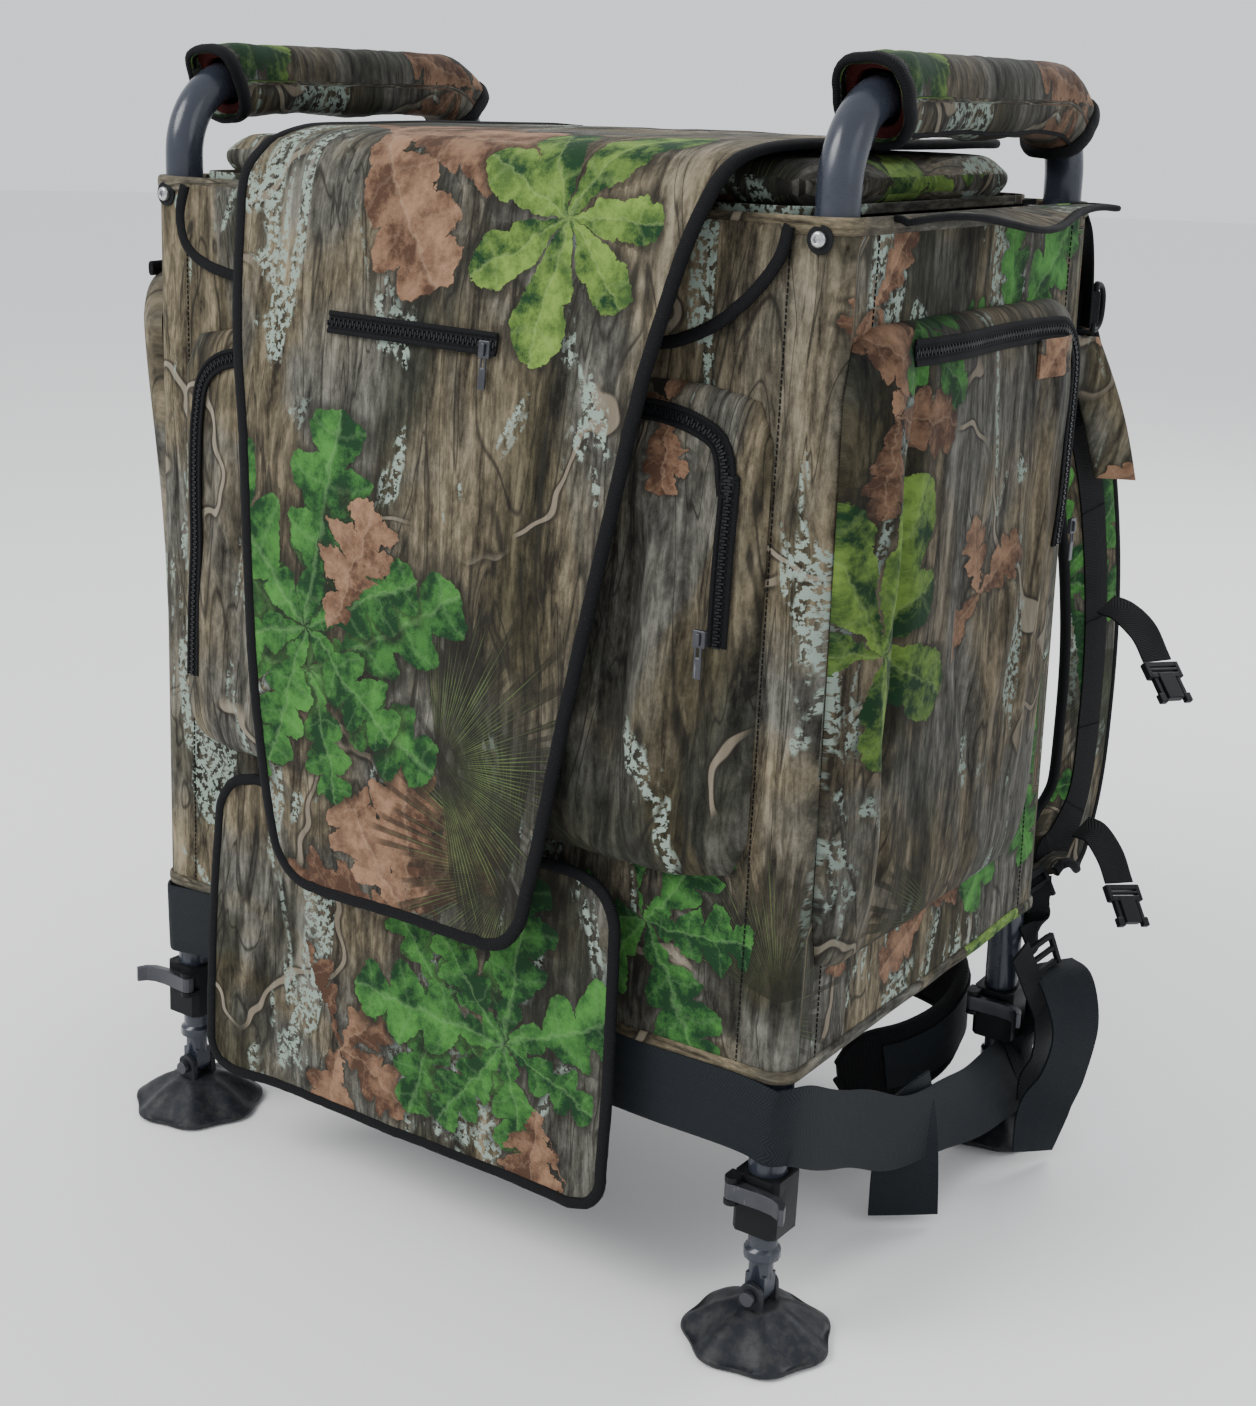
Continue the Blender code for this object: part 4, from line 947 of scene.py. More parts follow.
def build_cushion():
    low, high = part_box("seat_cushion")
    half_x = (high.x - low.x) / 2.0 - 0.003
    y0, y1 = low.y + 0.005, high.y - 0.003
    z0, z1 = low.z + 0.0006, high.z - 0.007
    corner = 0.024
    bm = bmesh.new()
    rings = []
    for inset, z in (
            (0.01, z0), (0.001, z0 + 0.006), (0.0, (z0 + z1) / 2.0), (0.001, z1 - 0.006), (0.01, z1)):
        rings.append([bm.verts.new((x, y, z)) for x, y in rounded_outline(half_x, y0, y1, inset, corner, 6)])
    for first, second in zip(rings, rings[1:]):
        for i in range(len(first)):
            j = (i + 1) % len(first)
            bm.faces.new((first[i], first[j], second[j], second[i]))
    bm.faces.new(rings[0][::-1])
    bm.faces.new(rings[-1])
    bmesh.ops.recalc_face_normals(bm, faces=bm.faces)
    mesh = bpy.data.meshes.new("seat_pad")
    bm.to_mesh(mesh)
    bm.free()
    obj = place_in_scene("seat_pad", mesh)
    remesh = obj.modifiers.new("Even net", "REMESH")
    remesh.mode = "VOXEL"
    remesh.voxel_size = 0.0058
    bake_modifiers(obj)
    fill_with_air(obj, 4.0, sizes().cushion_swell)
    keep_clear(obj, low.z - 0.0001, high.z - 0.003)
    layer = obj.data.uv_layers.new(name="cloth")
    for poly in obj.data.polygons:
        for index in poly.loop_indices:
            p = obj.data.vertices[obj.data.loops[index].vertex_index].co
            if abs(poly.normal.z) > 0.6:
                layer.data[index].uv = (p.x, p.y)
            elif abs(poly.normal.x) > abs(poly.normal.y):
                layer.data[index].uv = (p.y + 0.9, p.z)
            else:
                layer.data[index].uv = (p.x, p.z + 0.4)
    soft = obj.modifiers.new("Softer", "SUBSURF")
    soft.levels = 1
    soft.render_levels = 1
    obj.data.shade_smooth()
    obj.data.materials.append(bpy.data.materials["pocket cloth"])
    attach(obj, BODY)
    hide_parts("seat_cushion")
    outline = rounded_outline(half_x, y0, y1, -0.001, corner, 8)
    skirt = [Vector((x, y - MIDDLE_Y, low.z - 0.0003)) for x, y in outline]
    skirt = spaced(skirt + skirt[:1], 0.012)[:-1]
    sweep("seat_pad_skirt", skirt, UP, 0.003, 0.0006, "pocket cloth", 10, 5.0, True)


def keep_clear(obj, floor, ceiling):
    """Hold the cushion between its deck and the flap, and off the four posts."""
    clear = TUBE_R + 0.001
    for vert in obj.data.vertices:
        if vert.co.z > ceiling:
            vert.co.z = ceiling + (vert.co.z - ceiling) * 0.25
        vert.co.z = max(vert.co.z, floor)
        side = vert.co.y - MIDDLE_Y
        post = Vector((math.copysign(POST_X, vert.co.x), MIDDLE_Y + math.copysign(post_y(BOLT_Z), side)))
        away = vert.co.xy - post
        if away.length < clear:
            vert.co.xy = post + away * (clear / away.length)


def bake_modifiers(obj):
    """Apply every modifier to the mesh itself."""
    bpy.context.view_layer.update()
    graph = bpy.context.evaluated_depsgraph_get()
    mesh = bpy.data.meshes.new_from_object(obj.evaluated_get(graph))
    obj.modifiers.clear()
    old = obj.data
    obj.data = mesh
    bpy.data.meshes.remove(old)


def fill_with_air(obj, pressure, cap):
    """Blow the closed cloth up as its filling would, and keep each point within the cap."""
    start = [vert.co.copy() for vert in obj.data.vertices]
    cloth = obj.modifiers.new("Filling", "CLOTH")
    settings = cloth.settings
    settings.quality = 5
    settings.mass = 0.3
    settings.tension_stiffness = 30.0
    settings.compression_stiffness = 30.0
    settings.shear_stiffness = 10.0
    settings.bending_stiffness = 1.0
    settings.use_pressure = True
    settings.uniform_pressure_force = pressure
    settings.effector_weights.gravity = 0.0
    cloth.point_cache.frame_start = 1
    cloth.point_cache.frame_end = 20
    scene = bpy.context.scene
    for step in range(1, 21):
        scene.frame_set(step)
    bake_modifiers(obj)
    scene.frame_set(1)
    for vert, before in zip(obj.data.vertices, start):
        move = vert.co - before
        if move.length > cap:
            vert.co = before + move * (cap / move.length)


# ---- pockets ------------------------------------------------------------------------------------------
def pocket(name, place, half, z0, z1, depth, folds, texture, chart_shift, material, node):
    """A filled pocket: a face that stands off a wall and rounds back to it at its rim.

    Returns the function that gives a place on the pocket's face."""
    mid = (z0 + z1) / 2.0

    def face(u, v, a, z):
        rise = ((1.0 - abs(u) ** 9.0) * (1.0 - abs(v) ** 9.0)) ** 0.42
        crease = sum(fold(a, z, *one) for one in folds) + texture(a, z)
        return depth(u, v) * rise + crease * min(1.0, rise * 1.4)

    rows, chart = [], []
    count_u, count_v = 86, 74
    for j in range(count_v + 1):
        v = math.sin(math.pi * (j / count_v - 0.5))
        row, marks = [], []
        for i in range(count_u + 1):
            u = math.sin(math.pi * (i / count_u - 0.5))
            corner = max(0.0, abs(u) - 0.8) * max(0.0, abs(v) - 0.8)
            a = half * u * (1.0 - 1.1 * corner)
            z = mid + (z1 - z0) / 2.0 * v * (1.0 - 1.1 * corner)
            row.append(place(a, z, 0.0005 + max(0.0, face(u, v, a, z))))
            marks.append((a + chart_shift, z))
        rows.append(row)
        chart.append(marks)
    surface(name, rows, chart, material, node=node, slot="camo_cloth")
    return lambda a, z: place(a, z, 0.0007 + face(a / half, (z - mid) / ((z1 - z0) / 2.0), a, z))


def fold(a, z, centre, slope, width, height, z0, z1):
    """A soft ridge that runs up the cloth between two heights."""
    if not z0 < z < z1:
        return 0.0
    share = math.sin(math.pi * (z - z0) / (z1 - z0)) ** 0.6
    off = (a - centre - slope * (z - (z0 + z1) / 2.0) - 0.004 * math.sin(z * 37.0 + centre * 90.0)) / width
    return height * share * math.exp(-off * off)


def pocket_zip(name, on_face, flat, normal, width=0.0125):
    line = curve_through([(a, z, 0.0) for a, z in flat], 8)
    path = spaced([on_face(p.x, p.y) for p in line], 0.006)
    zip_run(name, path, Vector(normal).normalized(), width)


def build_front_pocket():
    low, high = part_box("front_pocket")
    z0, z1 = low.z, high.z
    half = (high.x - low.x) / 2.0

    def depth(u, v):
        fill = 0.0185 + 0.004 * math.cos(math.pi / 2.0 * u)
        return fill * (1.0 - 0.26 * v) + 0.003 * max(0.0, -v)

    def texture(a, z):
        return 0.0026 * ripple(a, z, 11.0, 20.0) + 0.0012 * ripple(a, z, 12.0, 46.0)

    folds = (
        (0.172, -0.05, 0.013, 0.0085, z0 + 0.01, z1 - 0.02),
        (0.15, 0.1, 0.008, -0.0075, z0 + 0.02, z1 - 0.07),
        (0.196, 0.03, 0.007, -0.007, z0 + 0.03, z1 - 0.01), (0.12, -0.16, 0.012, 0.006, z0, z0 + 0.16),
        (-0.19, 0.06, 0.012, 0.007, z0 + 0.02, z1 - 0.03),
        (-0.16, -0.05, 0.009, -0.0035, z0 + 0.04, z1 - 0.04))
    on_face = pocket("front_pocket_body", on_front, half, z0, z1, depth, folds, texture, 0.0, "pocket cloth",
                     "front_pocket")
    top = z1 - 0.017
    edge = half - 0.02
    for label, side, foot in (("right", 1, z0 + 0.15), ("left", -1, z0 + 0.055)):
        flat = [(side * edge, foot), (side * edge, foot + 0.05), (side * edge, foot + 0.1),
                (side * (edge - 0.001), top - 0.045), (side * (edge - 0.006), top - 0.02),
                (side * (edge - 0.02), top - 0.006), (side * (edge - 0.045), top),
                (side * (edge - 0.085), top + 0.001)]
        if side < 0:
            flat.insert(3, (side * edge, foot + 0.17))
        pocket_zip(f"pocket_zip_{label}", on_face, flat, (0.12 * side, -0.99, 0.04))


def build_side_pocket(label, side):
    low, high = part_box(f"side_pocket_{label}")
    z0, z1 = low.z, high.z
    y_mid = (low.y + high.y) / 2.0 - MIDDLE_Y
    half = (high.y - low.y) / 2.0

    def place(a, z, out):
        return on_side(side, y_mid + a, z, out)

    def depth(u, v):
        fill = 0.015 + 0.0055 * math.cos(math.pi / 2.0 * u) + 0.002 * v
        if side < 0:
            fill += 0.034 * (0.5 + 0.5 * v) ** 2 * (1.0 - max(0.0, u) ** 4)
        return fill

    def texture(a, z):
        return 0.003 * ripple(a, z, 21.0 + side, 17.0) + 0.0012 * ripple(a, z, 22.0 + side, 40.0)

    folds = (
        (-0.118, 0.0, 0.01, 0.007, z0 - 0.01, z1 + 0.01), (-0.096, 0.0, 0.006, -0.01, z0, z1),
        (0.045, 0.2, 0.016, 0.005, z0 + 0.02, z1 - 0.09), (0.01, -0.22, 0.013, -0.006, z0, z1 - 0.14),
        (0.098, 0.05, 0.01, 0.006, z0 + 0.06, z1))
    # The right pocket takes the darkened side cloth, which carries painted shade; the left one keeps the
    # plain pocket cloth.
    on_face = pocket(f"side_pocket_body_{label}", place, half, z0, z1, depth, folds, texture, y_mid,
                     "side cloth" if side > 0 else "pocket cloth", f"side_pocket_{label}")
    top = z1 - 0.016
    edge = half - 0.017
    flat = [(-half + 0.055, top), (0.0, top), (edge - 0.05, top), (edge - 0.02, top - 0.004),
            (edge - 0.004, top - 0.02), (edge, top - 0.05), (edge, top - 0.11), (edge, top - 0.15)]
    pocket_zip(f"side_zip_{label}", on_face, flat, (side * 0.99, 0.06, 0.08), 0.015)
    if side < 0:
        lip = spaced([on_face(a, z1 - 0.005) for a in (-0.146, -0.1, -0.05, 0.0, 0.05, 0.1, 0.146)], 0.008)
        sweep("side_pocket_lip_left", lip, UP, 0.005, 0.002, "edge binding", 10, 3.0)
    tab = [on_face(a, top - 0.018) + Vector((side * 0.0018, 0.0, 0.0)) for a in (0.07, 0.085, 0.1, 0.115)]
    sweep(f"side_tab_{label}", curve_through(tab, 4), UP, 0.0125, 0.0011, "strap cloth", 12, 7.0)


# ---- flaps --------------------------------------------------------------------------------------------
def build_yoke():
    """The yoke over the front pocket's top, its lower edge cut in two curves."""
    outline = ((-0.236, 0.696), (-0.238, 0.668), (-0.226, 0.649), (-0.19, 0.638), (-0.12, 0.63), (0.0, 0.626),
               (0.11, 0.622), (0.158, 0.624), (0.188, 0.634), (0.212, 0.651), (0.232, 0.674), (0.24, 0.696))
    lower = curve_through([(x, z, 0.0) for x, z in outline], 8)
    rows, chart = [], []
    for j in range(13):
        share = j / 12.0
        row, marks = [], []
        for point in lower:
            z = PACK_HIGH - 0.003 + (point.y - PACK_HIGH + 0.003) * share
            x = point.x * (1.0 - 0.03 * (1.0 - share))
            row.append(on_front(x, z, 0.0024 + 0.002 * share + 0.001 * ripple(x, z, 31.0, 24.0)))
            marks.append((x, z))
        rows.append(row)
        chart.append(marks)
    yoke = thick_sheet("yoke_cloth", rows, chart, 0.0018, "pack cloth", node="yoke_flap", slot="camo_cloth")
    edge = rows[-1]
    inward = [(above - here).normalized() for above, here in zip(rows[-2], edge)]
    bind = bound_edge("yoke_binding", edge, inward, thick=0.0046)
    declare_sheet(rows)


def declare_sheet(rows):
    """Measure the width and height of a sheet from its own rows; the sizes are not kept."""
    def length(line):
        return sum((b - a).length for a, b in zip(line, line[1:]))
    width = max(length(row) for row in rows)
    columns = len(rows[0])
    tall = max(length([row[i] for row in rows]) for i in (0, columns // 2, columns - 1))
    for first, second in zip(rows, rows[1:]):
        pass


def build_main_flap():
    stations = [
        (0.149, 0.7362, 0.16, 0.212), (0.13, 0.7372, 0.165, 0.216), (0.05, 0.7376, 0.165, 0.218),
        (-0.06, 0.7376, 0.162, 0.217), (-0.13, 0.7372, 0.152, 0.214), (-0.158, 0.735, 0.147, 0.2115),
        (-0.176, 0.73, 0.148, 0.207), (-0.1865, 0.7205, 0.154, 0.2025), (-0.1925, 0.705, 0.161, 0.196),
        (-0.1985, 0.67, 0.16, 0.184), (-0.2085, 0.61, 0.155, 0.17), (-0.2155, 0.55, 0.147, 0.16),
        (-0.2225, 0.48, 0.139, 0.148), (-0.2275, 0.4, 0.13, 0.131), (-0.231, 0.32, 0.12, 0.117),
        (-0.233, 0.28, 0.113, 0.109), (-0.2335, 0.244, 0.105, 0.104)]
    line = curve_through([(y, z, left) for y, z, left, _ in stations], 7)
    reach = [point.z for point in curve_through([(y, z, right) for y, z, _, right in stations], 7)]
    corner = 0.03
    total = sum(math.hypot(b.x - a.x, b.y - a.y) for a, b in zip(line, line[1:]))
    rows, chart, walked = [], [], 0.0
    columns = 61
    for k, point in enumerate(line):
        if k:
            walked += math.hypot(point.x - line[k - 1].x, point.y - line[k - 1].y)
        left = total - walked
        trim = 0.0
        if left < corner:
            trim = corner - math.sqrt(max(0.0, corner ** 2 - (corner - left) ** 2))
        if walked < corner * 0.6:
            trim = corner * 0.6 - math.sqrt(max(0.0, (corner * 0.6) ** 2 - (corner * 0.6 - walked) ** 2))
        row, marks = [], []
        hangs = min(1.0, max(0.0, (0.72 - point.y) / 0.3))
        for i in range(columns):
            share = -1.0 + 2.0 * i / (columns - 1)
            x = share * ((point.z if share < 0.0 else reach[k]) - trim)
            wave = 0.0022 * ripple(x, walked, 41.0, 13.0) + 0.001 * ripple(x, walked, 42.0, 34.0)
            lift = 0.0028 * math.sin(walked * 23.0 + x * 11.0) * hangs * abs(share) ** 2
            if point.y > 0.73:
                row.append(Vector((x, point.x, point.y + 0.7 * max(wave, -0.0004))))
            else:
                row.append(Vector((x, point.x - 0.8 * abs(wave) - lift * 0.6 - 0.0006, point.y)))
            marks.append((x, 0.248 + left))
        rows.append(row)
        chart.append(marks)
    thickness = sizes().cloth_thickness
    flap = thick_sheet("main_flap_cloth", rows, chart, thickness, "flap cloth", body="flap", node="main_flap",
                       slot="camo_cloth")
    edge = outer_edge(rows)
    inward = ([(row[1] - row[0]).normalized() for row in rows]
              + [(rows[-4][i] - rows[-1][i]).normalized() for i in range(1, columns - 1)]
              + [(row[-2] - row[-1]).normalized() for row in rows[::-1]])
    path = spaced(edge, 0.005)
    inward = [inward[min(range(len(edge)), key=lambda k: (edge[k] - point).length_squared)] for point in path]
    for _ in range(3):
        inward = [(before + here * 2.0 + after).normalized()
                  for before, here, after in zip(inward[:1] + inward, inward, inward[1:] + inward[-1:])]
    bind = bound_edge("main_flap_binding", path, inward, body="flap", width=0.0088, thick=0.0062)
    back = [Vector((0.0, -1.0, 0.0))] * columns
    hinge = bound_edge("main_flap_back_binding", rows[0], back, body="flap", thick=0.005)
    declare_sheet(rows)
    z = 0.6205
    zip_line = [Vector((x, front_of_flap(line, z - 0.02 * (x + 0.002)) - 0.0045, z - 0.02 * (x + 0.002)))
                for x in [-0.07 + 0.134 * i / 26.0 for i in range(27)]]
    zip_run("flap_zip", zip_line, Vector((0.0, -0.985, 0.17)).normalized(), 0.0135, "flap", 0.0002)


def front_of_flap(line, z):
    """How far forwards the flap hangs at a height."""
    best = min((point for point in line if point.x < -0.15), key=lambda p: abs(p.y - z))
    return best.x


def build_apron():
    stations = [(-0.206, 0.3, 0.0), (-0.2075, 0.26, 0.0), (-0.21, 0.2, 0.0), (-0.2125, 0.13, 0.0),
                (-0.214, 0.085, 0.0), (-0.2145, 0.069, 0.0)]
    line = spaced(curve_through(stations, 10), 0.0045)
    columns = 57
    rows, chart = [], []
    for point in line:
        z = point.y
        top = 0.3 - z
        low = z - 0.069
        trim = 0.0
        for reach, corner in ((top, 0.034), (low, 0.024)):
            if reach < corner:
                trim = corner - math.sqrt(max(0.0, corner ** 2 - (corner - reach) ** 2))
        halves = (0.188 + 0.008 * top / 0.23 - trim, 0.158 + 0.003 * math.sin(math.pi * top / 0.23) - trim)
        row, marks = [], []
        for i in range(columns):
            share = -1.0 + 2.0 * i / (columns - 1)
            x = share * halves[share > 0.0]
            hang = min(1.0, top / 0.12)
            wave = 0.004 * ripple(x, z, 51.0, 9.0) + 0.0014 * ripple(x, z, 52.0, 30.0)
            row.append(Vector((x, point.x + wave * hang - 0.003 * hang * abs(share) ** 3, z)))
            marks.append((x, z))
        rows.append(row)
        chart.append(marks)
    apron = thick_sheet("apron_cloth", rows, chart, 0.0026, "apron cloth", body="apron", node="apron",
                        slot="camo_cloth")
    edge = outer_edge(rows) + rows[0][-2:0:-1]
    path = spaced(edge + [edge[0]], 0.005)[:-1]
    inward = []
    for point in path:
        core = Vector((max(-0.14, min(0.14, point.x)), point.y, max(0.11, min(0.262, point.z))))
        inward.append((core - point).normalized())
    bind = bound_edge("apron_binding", path, inward, body="apron", closed=True, width=0.008, thick=0.0054)
    declare_sheet(rows)


def build_side_lid():
    rows, chart = [], []
    for j in range(11):
        share = j / 10.0
        row, marks = [], []
        for i in range(65):
            y = -0.122 + 0.252 * i / 64.0
            reach = 0.0335 * math.sin(math.pi * min(1.0, max(0.0, (i + 3.0) / 20.0)) / 2.0)
            reach -= 0.0045 * math.sin(i / 64.0 * math.pi * 3.0)
            x = POST_X + WALL_OFF + 0.0018 + share * reach
            wave = 0.005 * math.sin(i / 64.0 * math.pi * 2.6 + 0.4) - 0.001
            z = 0.7004 + share * wave - 0.003 * share ** 2
            row.append(Vector((x, y, z)))
            marks.append((y, x))
        rows.append(row)
        chart.append(marks)
    lid = thick_sheet("side_lid_cloth", rows, chart, 0.002, "pack cloth", body="side_lid",
                      node="side_lid_right", slot="camo_cloth")
    path = spaced(outer_edge(rows), 0.004)
    inward = []
    for point in path:
        core = Vector((POST_X + WALL_OFF + 0.006, max(-0.095, min(0.11, point.y)), point.z))
        inward.append((core - point).normalized())
    bind = bound_edge("side_lid_binding", path, inward, body="side_lid", thick=0.0042, width=0.007)
    declare_sheet(rows)


# ---- frame, legs and fittings -------------------------------------------------------------------------
def frame_line(side):
    """Centre line of a side frame: up the front post, over the armrest and down the rear post."""
    x = side * POST_X
    corners = [Vector((x, -post_y(POST_LOW), POST_LOW)), Vector((x, -post_y(ARM_Z), ARM_Z)),
               Vector((x, post_y(ARM_Z), ARM_Z)), Vector((x, post_y(POST_LOW), POST_LOW))]
    path = [corners[0]]
    for before, corner, after in zip(corners, corners[1:], corners[2:]):
        back = (before - corner).normalized()
        ahead = (after - corner).normalized()
        half = back.angle(ahead) / 2.0
        reach = BEND_R / math.tan(half)
        centre = corner + (back + ahead).normalized() * (BEND_R / math.sin(half))
        start = corner + back * reach - centre
        sweep_angle = start.angle(corner + ahead * reach - centre)
        axis = start.cross(corner + ahead * reach - centre)
        for i in range(21):
            path.append(centre + Matrix.Rotation(sweep_angle * i / 20.0, 3, axis) @ start)
    path.append(corners[-1])
    return path


def build_frame():
    sides = sizes().tube_sides
    for label, side in SIDES.items():
        path = frame_line(side)
        ahead = directions(path)
        points, chart = [], []
        for radius in (TUBE_R, TUBE_R - 0.0021):
            order = list(zip(path, ahead))
            if radius < TUBE_R:
                order.reverse()
            for point, forward in order:
                across = Vector((1.0, 0.0, 0.0))
                out = across.cross(forward).normalized()
                for i in range(sides):
                    angle = 2.0 * math.pi * i / sides
                    points.append(point + (across * math.cos(angle) + out * math.sin(angle)) * radius)
                    chart.append((angle * radius, point.z))
        faces = tube_faces(2 * len(path), sides, True)
        tube = make_piece(f"frame_tube_{label}", points, faces, "frame paint", node=f"side_frame_{label}",
                          slot="frame_paint", chart=chart)
        sharp_above(tube, 50.0)


def turned_piece(name, profile, matrix, material, node=None, sides=28, slot=None):
    """A turned piece from its (radius, height) profile, closed at both ends."""
    points = []
    for radius, height in profile:
        for i in range(sides):
            angle = 2.0 * math.pi * i / sides
            points.append(matrix @ Vector((radius * math.cos(angle), radius * math.sin(angle), height)))
    faces = tube_faces(len(profile), sides)
    sharp_above(make_piece(name, points, faces, material, node=node, slot=slot), 40.0)


def build_bolts():
    """Socket screw heads on black washers at the frame's corners, and their nuts inside."""
    for label, (fx, fy) in CORNERS.items():
        place = Matrix.Translation((fx * POST_X, 0.0, BOLT_Z)) @ Matrix.Rotation(-fy * math.pi / 2.0, 4, "X")
        head = POST_Y + WALL_OFF
        turned_piece(f"washer_{label}", [
            (0.0034, head + 0.0004), (0.0078, head + 0.0004), (0.0082, head + 0.0007),
            (0.0082, head + 0.0014), (0.0078, head + 0.0018), (0.005, head + 0.0019),
            (0.0034, head + 0.0015)], place, "black plastic")
        turned_piece(f"corner_screw_{label}", [
            (0.0029, POST_Y - 0.034), (0.0029, head + 0.0013), (0.0046, head + 0.0018),
            (0.0047, head + 0.0036), (0.0043, head + 0.0047), (0.0034, head + 0.0053),
            (0.0024, head + 0.0054), (0.0021, head + 0.0052), (0.002, head + 0.0034),
            (0.0002, head + 0.003)], place, "bolt steel", node=f"corner_bolt_{label}", slot="bolt_steel")
        turned_piece(f"corner_nut_{label}", [
            (0.0031, POST_Y - 0.0386), (0.0056, POST_Y - 0.0386), (0.0058, POST_Y - 0.038),
            (0.0058, POST_Y - 0.0344), (0.0056, POST_Y - 0.0338), (0.0031, POST_Y - 0.0338)],
            place, "bolt steel", sides=6)


def build_legs():
    """Lock blocks, levers, inner legs and pins with rounded edges, and the mud feet."""
    for label, (fx, fy) in CORNERS.items():
        copied(f"lock_housing_{label}", f"lock_block_{label}", "black plastic", 0.001, 3)
        copied(f"lock_lever_{label}", f"lever_{label}_arm", "lever steel", 0.0008, 3, f"lever_{label}")
        inner = copied(f"inner_leg_{label}", f"leg_tube_{label}", "frame paint", 0.0005, 2, f"leg_{label}")
        sharp_above(inner, 35.0)
        pin = copied(f"foot_pin_{label}", f"pin_{label}", "lever steel", 0.0005, 2, f"leg_{label}")
        sharp_above(pin, 35.0)
        build_foot(label, fx, fy)


def build_foot(label, fx, fy):
    """A ribbed rubber dome with a scalloped rim, a neck and two ears for the pin."""
    pin_z = 0.034
    centre = Vector((fx * POST_X, fy * post_y(pin_z), 0.0))
    sides, lobes = 112, 7
    levels = [
        (0.3, 0.0006, 0.0), (0.86, 0.0006, 1.0), (0.965, 0.0008, 1.0), (0.998, 0.0022, 1.0),
        (0.99, 0.0042, 1.0), (0.955, 0.0056, 1.0), (0.9, 0.0078, 1.0), (0.8, 0.0118, 0.95),
        (0.68, 0.016, 0.85), (0.56, 0.0196, 0.7), (0.45, 0.0222, 0.5), (0.36, 0.0238, 0.3),
        (0.3, 0.0246, 0.12), (0.27, 0.0251, 0.0), (0.25, 0.0253, 0.0), (0.1, 0.0254, 0.0),
        (0.02, 0.0254, 0.0)]
    points = []
    for share, z, wave in levels:
        droop = 0.0
        if 0.3 < share < 0.97:
            droop = 0.0036 * wave * (0.6 if share > 0.9 else 1.0)
        for i in range(sides):
            angle = 2.0 * math.pi * i / sides
            dip = 0.5 - 0.5 * math.cos(lobes * angle)
            radius = 0.05 * share * (1.0 - 0.075 * wave * dip)
            rise = max(0.0003, z - droop * dip)
            points.append(centre + Vector((radius * math.cos(angle), radius * math.sin(angle), rise)))
    body = f"foot_{label}"
    dome = make_piece(f"mud_foot_{label}", points, tube_faces(len(levels), sides), "foot rubber", body, body,
                      "foot_rubber")
    sharp_above(dome, 55.0)
    for tag, y0 in (("a", -0.0118), ("b", 0.0074)):
        outline = [(-0.0088, 0.0235), (0.0088, 0.0235)]
        for i in range(17):
            angle = math.pi * i / 16.0
            outline.append((0.0078 * math.cos(angle), pin_z + 0.0028 + 0.0062 * math.sin(angle)))
        ear = [centre + Vector((x, y, z)) for y in (y0, y0 + 0.0044) for x, z in outline]
        count = len(outline)
        faces = [tuple(range(count)), tuple(range(count, 2 * count))]
        faces += [(i, (i + 1) % count, count + (i + 1) % count, count + i) for i in range(count)]
        piece = make_piece(f"foot_ear_{label}_{tag}", ear, faces, "foot rubber", body, smooth=False)
        rounded(piece, 0.0009, 3)


def sleeve_ring(point, forward, walked, flare, side, sides):
    """One ring of a sleeve: squared round, with small dents and a sag along its underside."""
    across = Vector((1.0, 0.0, 0.0))
    out = across.cross(forward).normalized()
    ring = []
    for k in range(sides):
        angle = 2.0 * math.pi * k / sides
        c, s = math.cos(angle), math.sin(angle)
        reach = (abs(c) ** 2.9 + abs(s) ** 2.9) ** (-1.0 / 2.9)
        relief = 0.0011 * noise.noise(Vector((walked * 34.0, angle * 1.6, side * 4.0)))
        relief += 0.0008 * noise.noise(Vector((walked * 90.0, angle * 2.6, side * 7.0)))
        under = max(0.0, s if out.z < 0 else -s)
        sag = 0.0012 * math.sin(walked * 58.0) * under
        ring.append(point + across * ((0.0208 * c * reach) * flare + relief * c)
                    + out * ((0.0236 * s * reach) * flare + (relief + sag) * s))
    return ring


def build_sleeve(label, side):
    low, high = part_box(f"armrest_sleeve_{label}")
    kept = [p for p in spaced(frame_line(side), 0.004)
            if p.y + MIDDLE_Y > low.y + 0.001 and p.z > ARM_Z - 0.04
            and (p.y < 0.1 or p.z > high.z - 0.044) and (p.y >= -0.05 or p.z >= ARM_Z - 0.0052)]
    sides = 44
    total = sum((b - a).length for a, b in zip(kept, kept[1:]))
    rings, chart, walked = [], [], 0.0
    for i, (point, forward) in enumerate(zip(kept, directions(kept))):
        if i:
            walked += (point - kept[i - 1]).length
        flare = 1.0 + 0.05 * math.exp(-walked / 0.014) + 0.03 * math.exp(-(total - walked) / 0.012)
        rings.append(sleeve_ring(point, forward, walked, flare, side, sides))
        chart.append([(walked, 2.0 * math.pi * 0.021 * k / sides) for k in range(sides)])
    sleeve = surface(f"sleeve_{label}", rings, chart, "sleeve cloth", True, node=f"armrest_sleeve_{label}",
                     slot="camo_cloth")
    thickened(sleeve, 0.0028, -1.0)
    for tag, index, inner in (("front", 0, 5), ("rear", -1, -6)):
        inward = [(kept[inner] - kept[index]).normalized()] * sides
        bound_edge(f"sleeve_binding_{label}_{tag}", rings[index], inward, closed=True, width=0.0098,
                   thick=0.0058)
        foam = []
        shrink = ((0.93, 0), (0.9, 1), (0.86, 2), (0.74, 2), (0.66, 2), (0.64, 3))
        for scale, step in shrink:
            source = step if index == 0 else -1 - step
            foam += [kept[source] + (spot - kept[source]) * scale for spot in rings[source]]
        faces = grid_faces(len(shrink), sides, True)
        make_piece(f"sleeve_lining_{label}_{tag}", foam, faces, "sleeve lining")
    low_side = (sides * 5) // 8 if side < 0 else (sides * 7) // 8
    seam = [centre + (ring[low_side] - centre) * 1.012 for centre, ring in zip(kept[2:-2], rings[2:-2])]
    upright = Vector((0.0, 0.2, 1.0))
    sweep(f"sleeve_seam_{label}", spaced(seam, 0.006), upright, 0.0016, 0.0009, "edge binding", 8, 2.0)


